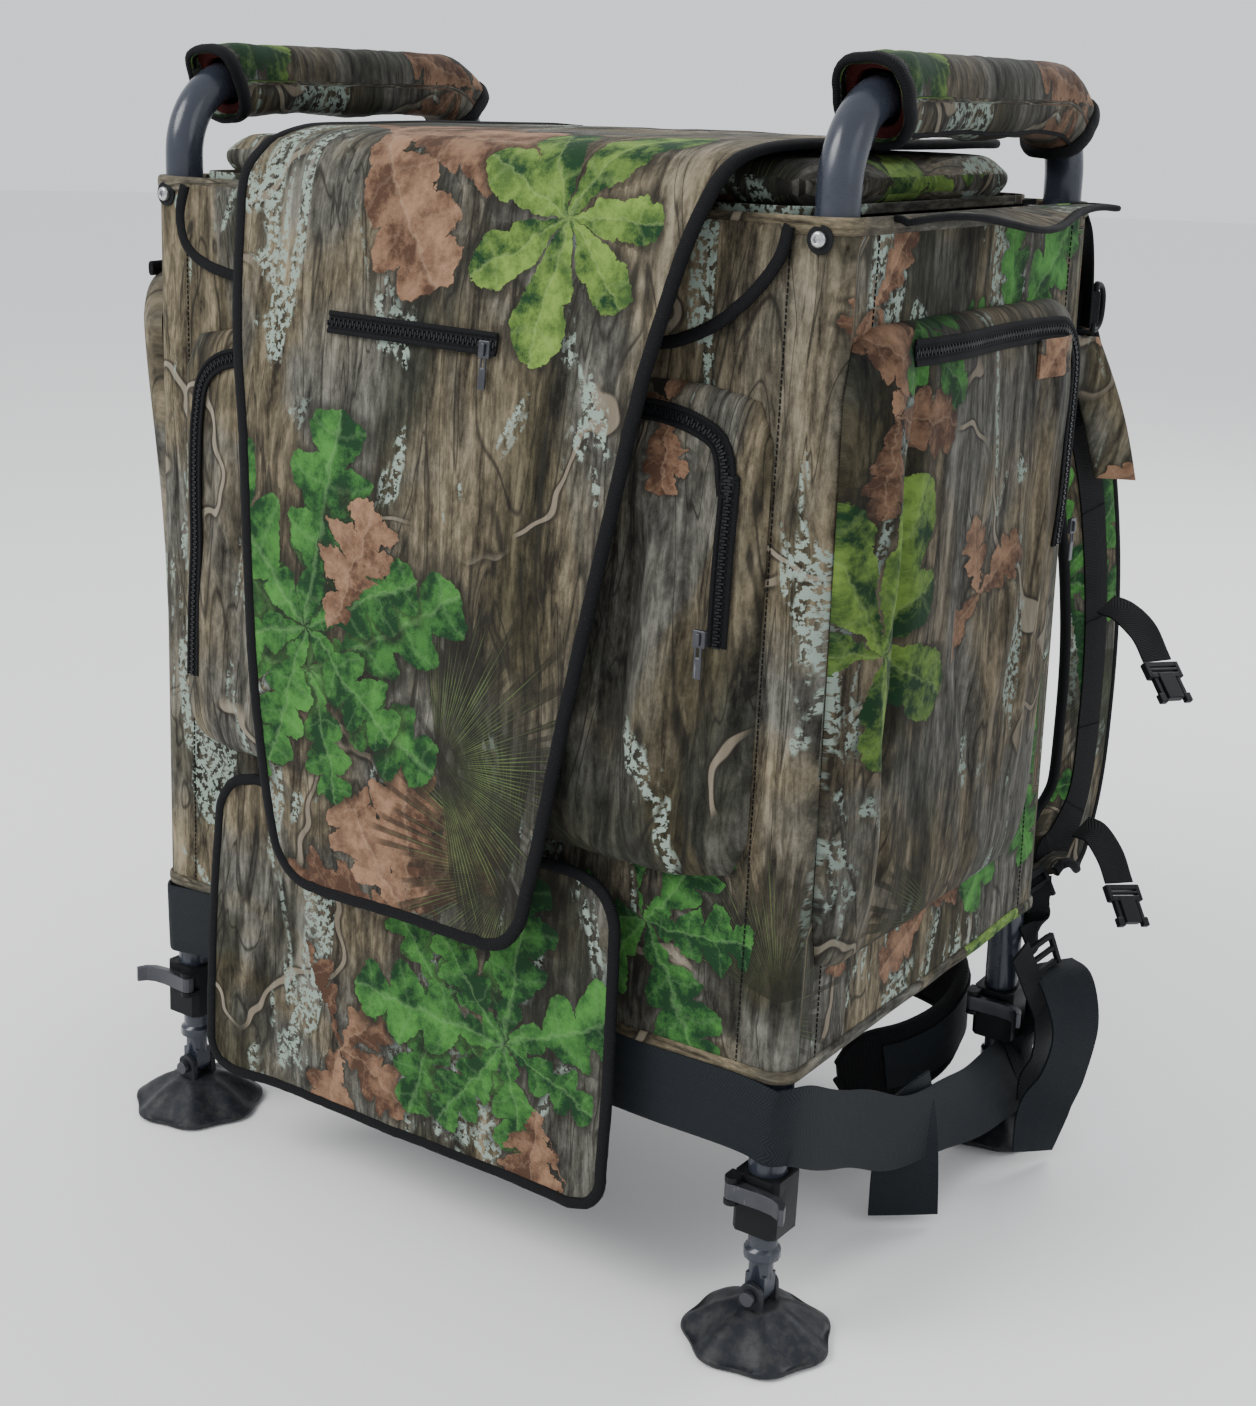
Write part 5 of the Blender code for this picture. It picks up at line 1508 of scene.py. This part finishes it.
# ---- harness ------------------------------------------------------------------------------------------
def mirrored(points, side):
    return [Vector((side * p[0], p[1], p[2])) for p in points]


def webbing(name, points, axes, width, material="black webbing", node=None, thick=None, side=1, stitched=()):
    """Flat webbing through a few points, with stitched cross-bars at the given shares of its length."""
    thick = thick or sizes().webbing_thickness
    path = curve_through(mirrored(points, side), 8)
    across = [axis.normalized() for axis in curve_through(mirrored(axes, side), 8)]
    sweep(name, path, across, width / 2.0, thick / 2.0, material, 14, 9.0, node=node)
    for share in stitched:
        index = int(share * (len(path) - 1))
        forward = directions(path)[index]
        over = (across[index] - forward * across[index].dot(forward)).normalized()
        out = over.cross(forward).normalized()
        ends = [path[index] + over * (width * 0.42 * s) + out * (thick / 2.0) for s in (-1.0, 1.0)]
        stitch_row(f"{name}_bar_{index}", ends, out)


def build_shoulder_straps():
    points = [
        (0.222, 0.192, 0.65), (0.243, 0.212, 0.59), (0.254, 0.238, 0.52), (0.259, 0.258, 0.45),
        (0.26, 0.274, 0.38), (0.26, 0.279, 0.31), (0.259, 0.276, 0.25), (0.2585, 0.246, 0.213),
        (0.26, 0.214, 0.2)]
    axes = [
        (0.9, 0.3, 0.0), (0.6, 0.8, 0.0), (0.35, 0.94, 0.0), (0.3, 0.95, 0.0), (0.28, 0.96, 0.0),
        (0.28, 0.96, 0.0), (0.28, 0.96, 0.0), (0.28, 0.9, 0.2), (0.28, 0.8, 0.4)]
    half_thick = sizes().strap_padding / 2.0
    for label, side in SIDES.items():
        path = curve_through(mirrored(points, side), 12)
        across = [axis.normalized() for axis in curve_through(mirrored(axes, side), 12)]
        ahead = directions(path)
        flat_axes, outs = [], []
        for forward, axis in zip(ahead, across):
            over = (axis - forward * axis.dot(forward)).normalized()
            flat_axes.append(over)
            out = over.cross(forward).normalized()
            outs.append(out if out.x * side > 0 else -out)

        def swell(t):
            ends = min(1.0, t / 0.06, (1.0 - t) / 0.16)
            return 0.55 + 0.45 * ends, 0.55 + 0.45 * ends

        pad = sweep(f"shoulder_pad_{label}", path, across, 0.029, half_thick, "strap cloth", 20, 4.0,
                    swell=swell, node=f"shoulder_strap_{label}", slot="camo_cloth")
        for tag, sign in (("a", 1.0), ("b", -1.0)):
            line = [p + over * (sign * 0.0285 * swell(i / (len(path) - 1))[0])
                    for i, (p, over) in enumerate(zip(path, flat_axes))]
            sweep(f"strap_edge_{label}_{tag}", line, across, 0.0034, 0.004, "edge binding", 12, 3.0)
        line = [p + out * (half_thick * swell(i / (len(path) - 1))[1] + 0.0006)
                for i, (p, out) in enumerate(zip(path, outs))][4:]
        sweep(f"strap_webbing_{label}", line, across[4:], 0.0125, 0.0009, "black webbing", 14, 9.0)
        for share in (0.3, 0.46, 0.62, 0.78):
            index = int(share * (len(line) - 1)) + 4
            spot = line[index - 4] + outs[index] * 0.0009
            ends = [spot + flat_axes[index] * reach for reach in (-0.0105, 0.0105)]
            stitch_row(f"strap_bar_{label}_{index}", ends, outs[index])
        build_strap_fittings(label, side)


def build_strap_fittings(label, side):
    """The ladder locks, loops and webbing between the strap, the pack's top and the rear post."""
    hang = [(0.233, 0.181, 0.672), (0.24, 0.188, 0.65), (0.246, 0.197, 0.622), (0.252, 0.211, 0.588),
            (0.2625, 0.2285, 0.548)]
    axes = [(0.85, 0.5, 0.0), (0.8, 0.6, 0.0), (0.7, 0.7, 0.0), (0.6, 0.8, 0.0), (0.5, 0.86, 0.0)]
    webbing(f"load_webbing_{label}", hang, axes, 0.025, side=side, stitched=(0.06, 0.12))
    ladder_lock(f"top_lock_{label}", Vector((side * 0.25, 0.206, 0.6)), Vector((side * 0.7, 0.71, 0.0)),
                Vector((side * 0.14, 0.28, -0.95)))
    ladder_lock(f"low_lock_{label}", Vector((side * 0.264, 0.203, 0.19)), Vector((side * 0.3, 0.9, 0.3)),
                Vector((side * 0.1, -0.42, -0.9)))
    if side > 0:
        corner = [(0.259, 0.1745, 0.696), (0.263, 0.179, 0.68), (0.265, 0.183, 0.65), (0.265, 0.185, 0.618)]
        webbing("corner_tab", corner, [(0.75, -0.66, 0.0)] * 4, 0.03)
    down = [(0.26, 0.213, 0.2), (0.264, 0.203, 0.188), (0.268, 0.196, 0.174), (0.276, 0.186, 0.164),
            (0.2735, 0.17, 0.16)]
    axes = [(0.28, 0.8, 0.4), (0.3, 0.7, 0.5), (0.2, 0.6, 0.7), (0.0, 0.3, 0.95), (-0.3, 0.2, 0.9)]
    webbing(f"anchor_webbing_{label}", down, axes, 0.025, side=side)
    wing(label, side)


def wing(label, side):
    """A cloth gusset that joins the strap's upper end to the pack."""
    rows, chart = [], []
    top = (Vector((0.256, 0.1755, 0.612)), Vector((0.268, 0.213, 0.608)))
    low = (Vector((0.267, 0.234, 0.505)), Vector((0.29, 0.256, 0.503)))
    for j in range(17):
        v = j / 16.0
        row, marks = [], []
        for i in range(9):
            u = i / 8.0
            point = top[0].lerp(top[1], u).lerp(low[0].lerp(low[1], u), v)
            point.x += 0.004 * math.sin(math.pi * v) * (0.4 + 0.6 * u)
            row.append(Vector((side * point.x, point.y, point.z)))
            marks.append((point.y + 0.13, point.z))
        rows.append(row)
        chart.append(marks)
    sheet = thick_sheet(f"strap_gusset_{label}", rows, chart, 0.0018, "pack cloth")
    declare_sheet(rows)


def ladder_lock(name, centre, across, down):
    """A plastic ladder lock: two side bars, three rungs and a lifted lip."""
    down = (down - across * down.dot(across) / across.length_squared).normalized()
    across = across.normalized()
    out = across.cross(down).normalized()
    parts = [(centre + across * reach, across * 0.0019, down * 0.0125, out * 0.0022)
             for reach in (-0.0146, 0.0146)]
    for shift, lift, thick in ((-0.011, 0.0, 0.0022), (-0.001, 0.0, 0.0019), (0.01, 0.0012, 0.0022)):
        parts.append((centre + down * shift + out * lift, across * 0.013, down * 0.0019, out * thick))
    parts.append((centre + down * 0.015 + out * 0.0034, across * 0.011, down * 0.004, out * 0.0011))
    bricks(name, parts, "black plastic", 0.0006)


def build_strap_ends():
    """The chest and lower adjusting webbings with their buckle halves."""
    chest = [(0.2745, 0.264, 0.405), (0.29, 0.262, 0.402), (0.31, 0.252, 0.392), (0.326, 0.242, 0.375)]
    lower = [(0.2745, 0.258, 0.228), (0.288, 0.256, 0.226), (0.304, 0.248, 0.214), (0.317, 0.238, 0.198)]
    axes = [(0.0, 0.9, 0.4), (0.0, 0.9, 0.4), (0.1, 0.9, 0.4), (0.2, 0.9, 0.3)]
    for label, side in SIDES.items():
        for kind, points in (("sternum", chest), ("lower", lower)):
            webbing(f"{kind}_webbing_{label}", points, axes, 0.025, node=f"{kind}_strap_{label}", side=side,
                    stitched=(0.05, 0.88))
            release_buckle(f"{kind}_{label}", points[-1], points[-2], side, f"{kind}_buckle_{label}")


def release_buckle(name, end, before, side, node):
    """The tongue half of a side-release buckle: a webbing bar, a shoulder and three prongs."""
    end, before = Vector(end), Vector(before)
    along = (end - before).normalized()
    across = Vector((0.0, 0.94, 0.34))
    across = (across - along * across.dot(along)).normalized()
    out = along.cross(across).normalized()
    start = end + along * 0.0021
    parts = [
        (start + along * 0.0022, across * 0.015, along * 0.0022, out * 0.0024),
        (start + along * 0.0115, across * 0.015, along * 0.0022, out * 0.0026)]
    for sign in (-1.0, 1.0):
        for ahead, reach, half, length, thick in (
                (0.0068, 0.0142, 0.002, 0.0066, 0.0026), (0.0225, 0.0106, 0.0019, 0.0096, 0.002),
                (0.0305, 0.0118, 0.0031, 0.0036, 0.0022)):
            spot = start + along * ahead + across * (sign * reach)
            parts.append((spot, across * half, along * length, out * thick))
    parts.append((start + along * 0.0205, across * 0.0074, along * 0.011, out * 0.003))
    parts.append((start + along * 0.0068 + out * 0.0006, across * 0.013, along * 0.0012, out * 0.002))
    parts = [mirrored(part, side) for part in parts]
    bricks(f"{name}_buckle_tongue", parts, "black plastic", 0.0007, node=node, slot="black_plastic")


def there_and_back(half):
    """Points from one side to the middle, and on to the other side as their mirror image."""
    return half + [(-x, y, z) for x, y, z in half[-2::-1]]


def build_hip_belt():
    half = [
        (0.2765, 0.163, 0.056), (0.2765, 0.11, 0.06), (0.2765, 0.05, 0.069), (0.2765, -0.03, 0.09),
        (0.2765, -0.1, 0.122), (0.2765, -0.16, 0.15), (0.269, -0.186, 0.157), (0.245, -0.1905, 0.16),
        (0.15, -0.1905, 0.163), (0.0, -0.1905, 0.165)]
    lean = [(-0.55, 0.0, 0.83), (-0.4, 0.0, 0.9), (-0.15, 0.0, 0.98)] + [(0.0, 0.0, 1.0)] * (len(half) - 3)
    path = curve_through(there_and_back(half), 10)
    across = [axis.normalized() for axis in curve_through(there_and_back(lean), 10)]
    for i, point in enumerate(path):
        bow = 0.0012 * math.sin(i * 0.37) + 0.0016 * noise.noise(point * 16.0)
        path[i] = point + Vector((0.0, 0.0, bow))
    sweep("hip_webbing", path, across, 0.0262, 0.0012, "belt webbing", 20, 9.0, node="hip_belt",
          slot="black_webbing")
    for label, side in SIDES.items():
        rear = [(0.2765, 0.163, 0.056), (0.28, 0.18, 0.056), (0.274, 0.197, 0.068), (0.252, 0.204, 0.082)]
        lean = [(-0.55, 0.0, 0.83), (-0.4, 0.1, 0.9), (-0.1, 0.1, 0.98), (0.0, 0.0, 1.0)]
        webbing(f"hip_webbing_tail_{label}", rear, lean, 0.05, "belt webbing", side=side, thick=0.0024)
    half = [(0.168, 0.082, 0.054), (0.205, 0.12, 0.062), (0.222, 0.16, 0.078), (0.205, 0.199, 0.098),
            (0.12, 0.206, 0.108), (0.0, 0.207, 0.11)]
    path = spaced(curve_through(there_and_back(half), 10), 0.006)

    def swell(t):
        ends = min(1.0, t / 0.045, (1.0 - t) / 0.045)
        return math.sqrt(max(0.05, 1.0 - (1.0 - ends) ** 2)), 0.62 + 0.38 * ends

    pad = sweep("lumbar_pad", path, UP, 0.0285, 0.0046, "padding cloth", 20, 4.2, swell=swell,
                node="hip_pad", slot="black_webbing")
    count = len(path) - 1
    for tag, sign in (("upper", 1.0), ("lower", -1.0)):
        line = [p + UP * (sign * 0.028 * swell(i / count)[0]) for i, p in enumerate(path)]
        sweep(f"lumbar_edge_{tag}", line, UP, 0.003, 0.004, "edge binding", 12, 3.0)
    line = [p + forward.cross(UP).normalized() * 0.0056 for p, forward in zip(path, directions(path))]
    sweep("lumbar_webbing", line[6:-6], UP, 0.019, 0.001, "belt webbing", 14, 9.0)
    tail = [(0.269, -0.002, 0.112), (0.27, -0.0015, 0.085), (0.269, -0.001, 0.05), (0.2697, 0.0, 0.008)]
    turn = [(0.05, 1.0, 0.0), (0.3, 0.95, 0.0), (0.65, 0.76, 0.0), (0.8, 0.6, 0.0)]
    webbing("belt_tail_webbing", tail, turn, 0.05, "belt webbing", node="belt_tail", thick=0.0024)
    loop = [(0.286, 0.19, 0.14), (0.306, 0.178, 0.134), (0.322, 0.163, 0.105), (0.32, 0.152, 0.07),
            (0.312, 0.142, 0.045), (0.309, 0.134, 0.012)]
    axes = [(0.45, 0.85, 0.0), (0.55, 0.8, 0.1), (0.4, 0.88, 0.0), (0.45, 0.85, -0.1), (0.6, 0.75, 0.0),
            (0.35, 0.92, 0.0)]
    webbing("belt_loop_webbing", loop, axes, 0.044, "belt webbing", node="belt_loop", thick=0.0024)
    rear_tail = [(0.288, 0.182, 0.132), (0.298, 0.176, 0.104), (0.296, 0.17, 0.074), (0.2955, 0.165, 0.056),
                 (0.2965, 0.166, 0.04)]
    turn = [(0.2, 0.95, 0.1), (0.3, 0.9, 0.2), (0.1, 0.97, 0.0), (0.4, 0.9, 0.1), (0.5, 0.85, 0.2)]
    webbing("rear_tail_webbing", rear_tail, turn, 0.038, "belt webbing", thick=0.0022)
    slant = [(0.284, 0.136, 0.168), (0.288, 0.152, 0.14), (0.292, 0.168, 0.112), (0.293, 0.184, 0.085)]
    webbing("slant_webbing", slant, [(0.1, 0.75, 0.6)] * 4, 0.022, "black webbing")
    ladder_lock("belt_lock", Vector((0.286, 0.175, 0.15)), Vector((0.25, 0.93, 0.25)),
                Vector((0.15, -0.25, -0.95)))


# ---- small fittings -----------------------------------------------------------------------------------
def build_sliders():
    """Zip sliders: a body over the teeth, a bridge and a hanging pull with its eye."""
    for node, body, out in (("flap_zip_slider", "flap_slider", Vector((0.0, -1.0, 0.12))),
                            ("pocket_zip_slider", "pocket_slider", Vector((0.0, -1.0, 0.04))),
                            ("side_zip_slider", "side_slider", Vector((1.0, 0.0, 0.0)))):
        low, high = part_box(node)
        centre = (low + high) / 2.0
        out = out.normalized()
        up = (Vector((0.0, 0.0, 1.0)) - out * out.z).normalized()
        across = up.cross(out).normalized()
        top = Vector((centre.x, centre.y - MIDDLE_Y, high.z - 0.0045))
        parts = []
        for reach, drop, lift, half, tall, thick in (
                (0.0, 0.0, 0.0006, 0.0042, 0.0052, 0.0015), (0.0, 0.0, 0.0028, 0.0013, 0.0036, 0.0009),
                (-0.0017, 0.0078, 0.0016, 0.0007, 0.0046, 0.0006),
                (0.0017, 0.0078, 0.0016, 0.0007, 0.0046, 0.0006),
                (0.0, 0.0172, 0.0014, 0.0026, 0.0066, 0.0007), (0.0, 0.012, 0.0016, 0.0024, 0.0008, 0.0006)):
            centre = top + across * reach - up * drop + out * lift
            parts.append((centre, across * half, up * tall, out * thick))
        bricks(f"{node}_body", parts, "lever steel", 0.0005, body=body, node=node, slot="lever_metal")


def build_ring():
    low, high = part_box("carry_ring")
    centre = Vector(((low.x + high.x) / 2.0, low.y - MIDDLE_Y + 0.0022, (low.z + high.z) / 2.0))
    tall = (high.z - low.z) / 2.0 - 0.0022
    deep = high.y - low.y - 0.0046
    path = []
    for i in range(40):
        angle = 2.0 * math.pi * i / 40.0
        c, s = math.cos(angle), math.sin(angle)
        rise = tall * math.copysign(abs(s) ** 0.75, s)
        path.append(centre + Vector((0.0, deep * max(0.0, c) ** 0.8, rise)))
    path = spaced(path + [path[0]], 0.0016)[:-1]
    sweep("carry_ring_wire", path, Vector((1.0, 0.0, 0.0)), 0.0021, 0.0019, "black plastic", 12, 2.2, True,
          body="ring", node="carry_ring", slot="black_plastic")
    tab = [(0.261, 0.174, 0.63), (0.266, 0.184, 0.63), (0.27, 0.192, 0.63), (0.2725, 0.1962, 0.63),
           (0.27, 0.1975, 0.63)]
    webbing("carry_ring_tab", tab, [(0.0, 0.0, 1.0)] * 5, 0.022, stitched=(0.3,))


PLAIN_FINISHES = {
    "frame paint": ("top_rail", "bottom_rail", "side_frame", "inner_leg"),
    "deck canvas": ("seat_deck",),
    "bolt steel": ("corner_bolt",),
    "black plastic": ("lock_housing", "carry_ring", "sternum_buckle", "lower_buckle"),
    "lever steel": ("lock_lever", "foot_pin", "flap_zip", "pocket_zip", "side_zip"),
    "foot rubber": ("foot_",),
    "belt webbing": ("hip_", "belt_"),
    "black webbing": ("sternum_strap", "lower_strap"),
}


def finish_frame_nodes():
    """Give every carried-over frame node its finish; cloth nodes take the pack's print."""
    for name, obj in NODES.items():
        named = (label for label, starts in PLAIN_FINISHES.items() if name.startswith(starts))
        finish = next(named, "pack cloth")
        if "cloth" in finish or "webbing" in finish or "canvas" in finish:
            if "cloth" not in obj.data.uv_layers:
                layer = obj.data.uv_layers.new(name="cloth")
                for loop in obj.data.loops:
                    p = obj.data.vertices[loop.vertex_index].co
                    layer.data[loop.index].uv = (p.x + p.y, p.z + p.y)
        obj.data.materials.clear()
        obj.data.materials.append(bpy.data.materials[finish])


# ---- stage --------------------------------------------------------------------------------------------
def build_stage():
    scene = bpy.context.scene
    material, net, sockets = new_material("studio floor", 0.75)
    place = net.put("ShaderNodeTexCoord").outputs["Object"]
    cloudy = net.noise(place, 2.2, 2.0, flat=False)
    pale = shade("floor")
    net.feed(sockets["Base Color"], net.mix(cloudy, toned(pale, 0.985), pale))
    bm = bmesh.new()
    bmesh.ops.create_circle(bm, cap_ends=True, segments=96, radius=14.0)
    mesh = bpy.data.meshes.new("floor")
    bm.to_mesh(mesh)
    bm.free()
    mesh.materials.append(material)
    floor = place_in_scene("floor", mesh)
    floor.location.z = -0.0006
    world = bpy.data.worlds.new("studio")
    world.use_nodes = True
    back = world.node_tree.nodes["Background"]
    back.inputs["Color"].default_value = (0.94, 0.96, 1.0, 1.0)
    back.inputs["Strength"].default_value = 1.1
    scene.world = world
    for name, place, aim, size, power, tint in (
            ("key light", (-1.3, -2.4, 2.7), (0.0, 0.0, 0.45), 1.9, 92.0, (1.0, 0.985, 0.96)),
            ("side light", (2.9, -0.5, 1.9), (0.1, 0.0, 0.4), 1.7, 10.0, (0.97, 0.98, 1.0)),
            ("back light", (0.6, 2.6, 2.4), (0.0, 0.0, 0.5), 1.8, 48.0, (1.0, 1.0, 1.0))):
        lamp = bpy.data.lights.new(name, "AREA")
        lamp.shape = "DISK"
        lamp.size = size
        lamp.energy = power
        lamp.color = tint
        obj = place_in_scene(name, lamp)
        obj.location = place
        obj.rotation_mode = "QUATERNION"
        obj.rotation_quaternion = (Vector(place) - Vector(aim)).to_track_quat("Z", "Y")
    yaw, pitch, roll = 0.604421, 0.303505, 0.0268794
    ahead = Vector((-math.sin(yaw) * math.cos(pitch), math.cos(yaw) * math.cos(pitch), -math.sin(pitch)))
    level = ahead.cross(Vector((0.0, 0.0, 1.0))).normalized()
    upright = level.cross(ahead)
    right = level * math.cos(roll) + upright * math.sin(roll)
    up = upright * math.cos(roll) - level * math.sin(roll)
    data = bpy.data.cameras.new("camera")
    data.lens = 50.911
    data.sensor_width = 36.0
    data.shift_x = 0.00901
    data.shift_y = 0.01075
    data.clip_start = 0.05
    data.clip_end = 60.0
    camera = place_in_scene("camera", data)
    turn = Matrix((right, up, -ahead)).transposed().to_4x4()
    camera.matrix_world = Matrix.Translation((0.801767, -1.146665 + MIDDLE_Y, 0.762044)) @ turn
    scene.camera = camera


# ---- operators ----------------------------------------------------------------------------------------
class PACKSEAT_OT_stage(bpy.types.Operator):
    """Set up the floor, the studio lights and the camera"""
    bl_idname = "pack_seat.stage"
    bl_label = "Stage"

    def execute(self, context):
        build_stage()
        return {"FINISHED"}


class PACKSEAT_OT_finishes(bpy.types.Operator):
    """Make the cloth, webbing, paint, plastic, rubber and metal finishes and put them on the frame"""
    bl_idname = "pack_seat.finishes"
    bl_label = "Finishes"

    def execute(self, context):
        make_groups()
        make_materials()
        finish_frame_nodes()
        return {"FINISHED"}


class PACKSEAT_OT_tubes(bpy.types.Operator):
    """Make the bent side frames and the corner bolts"""
    bl_idname = "pack_seat.tubes"
    bl_label = "Frame tubes and bolts"

    def execute(self, context):
        build_frame()
        build_bolts()
        return {"FINISHED"}


class PACKSEAT_OT_legs(bpy.types.Operator):
    """Make the leg locks, inner legs, pins and mud feet"""
    bl_idname = "pack_seat.legs"
    bl_label = "Legs and feet"

    def execute(self, context):
        build_legs()
        return {"FINISHED"}


class PACKSEAT_OT_pack(bpy.types.Operator):
    """Make the pack's walls, floor, hems, seams and back pads"""
    bl_idname = "pack_seat.pack"
    bl_label = "Pack body"

    def execute(self, context):
        build_pack()
        return {"FINISHED"}


class PACKSEAT_OT_cushion(bpy.types.Operator):
    """Make the filled seat cushion and its skirt"""
    bl_idname = "pack_seat.cushion"
    bl_label = "Seat cushion"

    def execute(self, context):
        build_cushion()
        return {"FINISHED"}


class PACKSEAT_OT_pockets(bpy.types.Operator):
    """Make the front and side pockets with their zips"""
    bl_idname = "pack_seat.pockets"
    bl_label = "Pockets"

    def execute(self, context):
        build_front_pocket()
        for label, side in SIDES.items():
            build_side_pocket(label, side)
        return {"FINISHED"}


class PACKSEAT_OT_flaps(bpy.types.Operator):
    """Make the yoke, the main flap, the apron and the side lid with their bindings"""
    bl_idname = "pack_seat.flaps"
    bl_label = "Flaps"

    def execute(self, context):
        build_yoke()
        build_main_flap()
        build_apron()
        build_side_lid()
        return {"FINISHED"}


class PACKSEAT_OT_sleeves(bpy.types.Operator):
    """Make the padded armrest sleeves"""
    bl_idname = "pack_seat.sleeves"
    bl_label = "Armrest sleeves"

    def execute(self, context):
        for label, side in SIDES.items():
            build_sleeve(label, side)
        return {"FINISHED"}


class PACKSEAT_OT_harness(bpy.types.Operator):
    """Make the shoulder straps, the hip belt and their webbing and buckles"""
    bl_idname = "pack_seat.harness"
    bl_label = "Harness"

    def execute(self, context):
        build_shoulder_straps()
        build_strap_ends()
        build_hip_belt()
        return {"FINISHED"}


class PACKSEAT_OT_fittings(bpy.types.Operator):
    """Make the zip sliders and the carry ring"""
    bl_idname = "pack_seat.fittings"
    bl_label = "Small fittings"

    def execute(self, context):
        build_sliders()
        build_ring()
        return {"FINISHED"}


class PACKSEAT_PT_panel(bpy.types.Panel):
    """The pack seat's sizes, colours and steps"""
    bl_label = "Pack Seat"
    bl_idname = "PACKSEAT_PT_panel"
    bl_space_type = "VIEW_3D"
    bl_region_type = "UI"
    bl_category = "Pack Seat"

    def draw(self, context):
        layout = self.layout
        for group in (context.scene.pack_seat_sizes, context.scene.pack_seat_colours):
            column = layout.column(align=True)
            for label in group.__annotations__:
                column.prop(group, label)
        column = layout.column(align=True)
        for step in STEPS:
            column.operator(step.bl_idname)


STEPS = (
    PACKSEAT_OT_finishes, PACKSEAT_OT_tubes, PACKSEAT_OT_legs, PACKSEAT_OT_pack, PACKSEAT_OT_cushion,
    PACKSEAT_OT_pockets, PACKSEAT_OT_flaps, PACKSEAT_OT_sleeves, PACKSEAT_OT_harness, PACKSEAT_OT_fittings,
    PACKSEAT_OT_stage)
CLASSES = (PackSeatSizes, PackSeatColours, *STEPS, PACKSEAT_PT_panel)


def register():
    for cls in CLASSES:
        bpy.utils.register_class(cls)
    bpy.types.Scene.pack_seat_sizes = PointerProperty(type=PackSeatSizes)
    bpy.types.Scene.pack_seat_colours = PointerProperty(type=PackSeatColours)


def unregister():
    del bpy.types.Scene.pack_seat_colours
    del bpy.types.Scene.pack_seat_sizes
    for cls in reversed(CLASSES):
        bpy.utils.unregister_class(cls)


def main():
    register()
    seat = bpy.ops.pack_seat
    seat.finishes()
    seat.tubes()
    seat.legs()
    seat.pack()
    seat.cushion()
    seat.pockets()
    seat.flaps()
    seat.sleeves()
    seat.harness()
    seat.fittings()
    seat.stage()


if __name__ == "__main__":
    main()
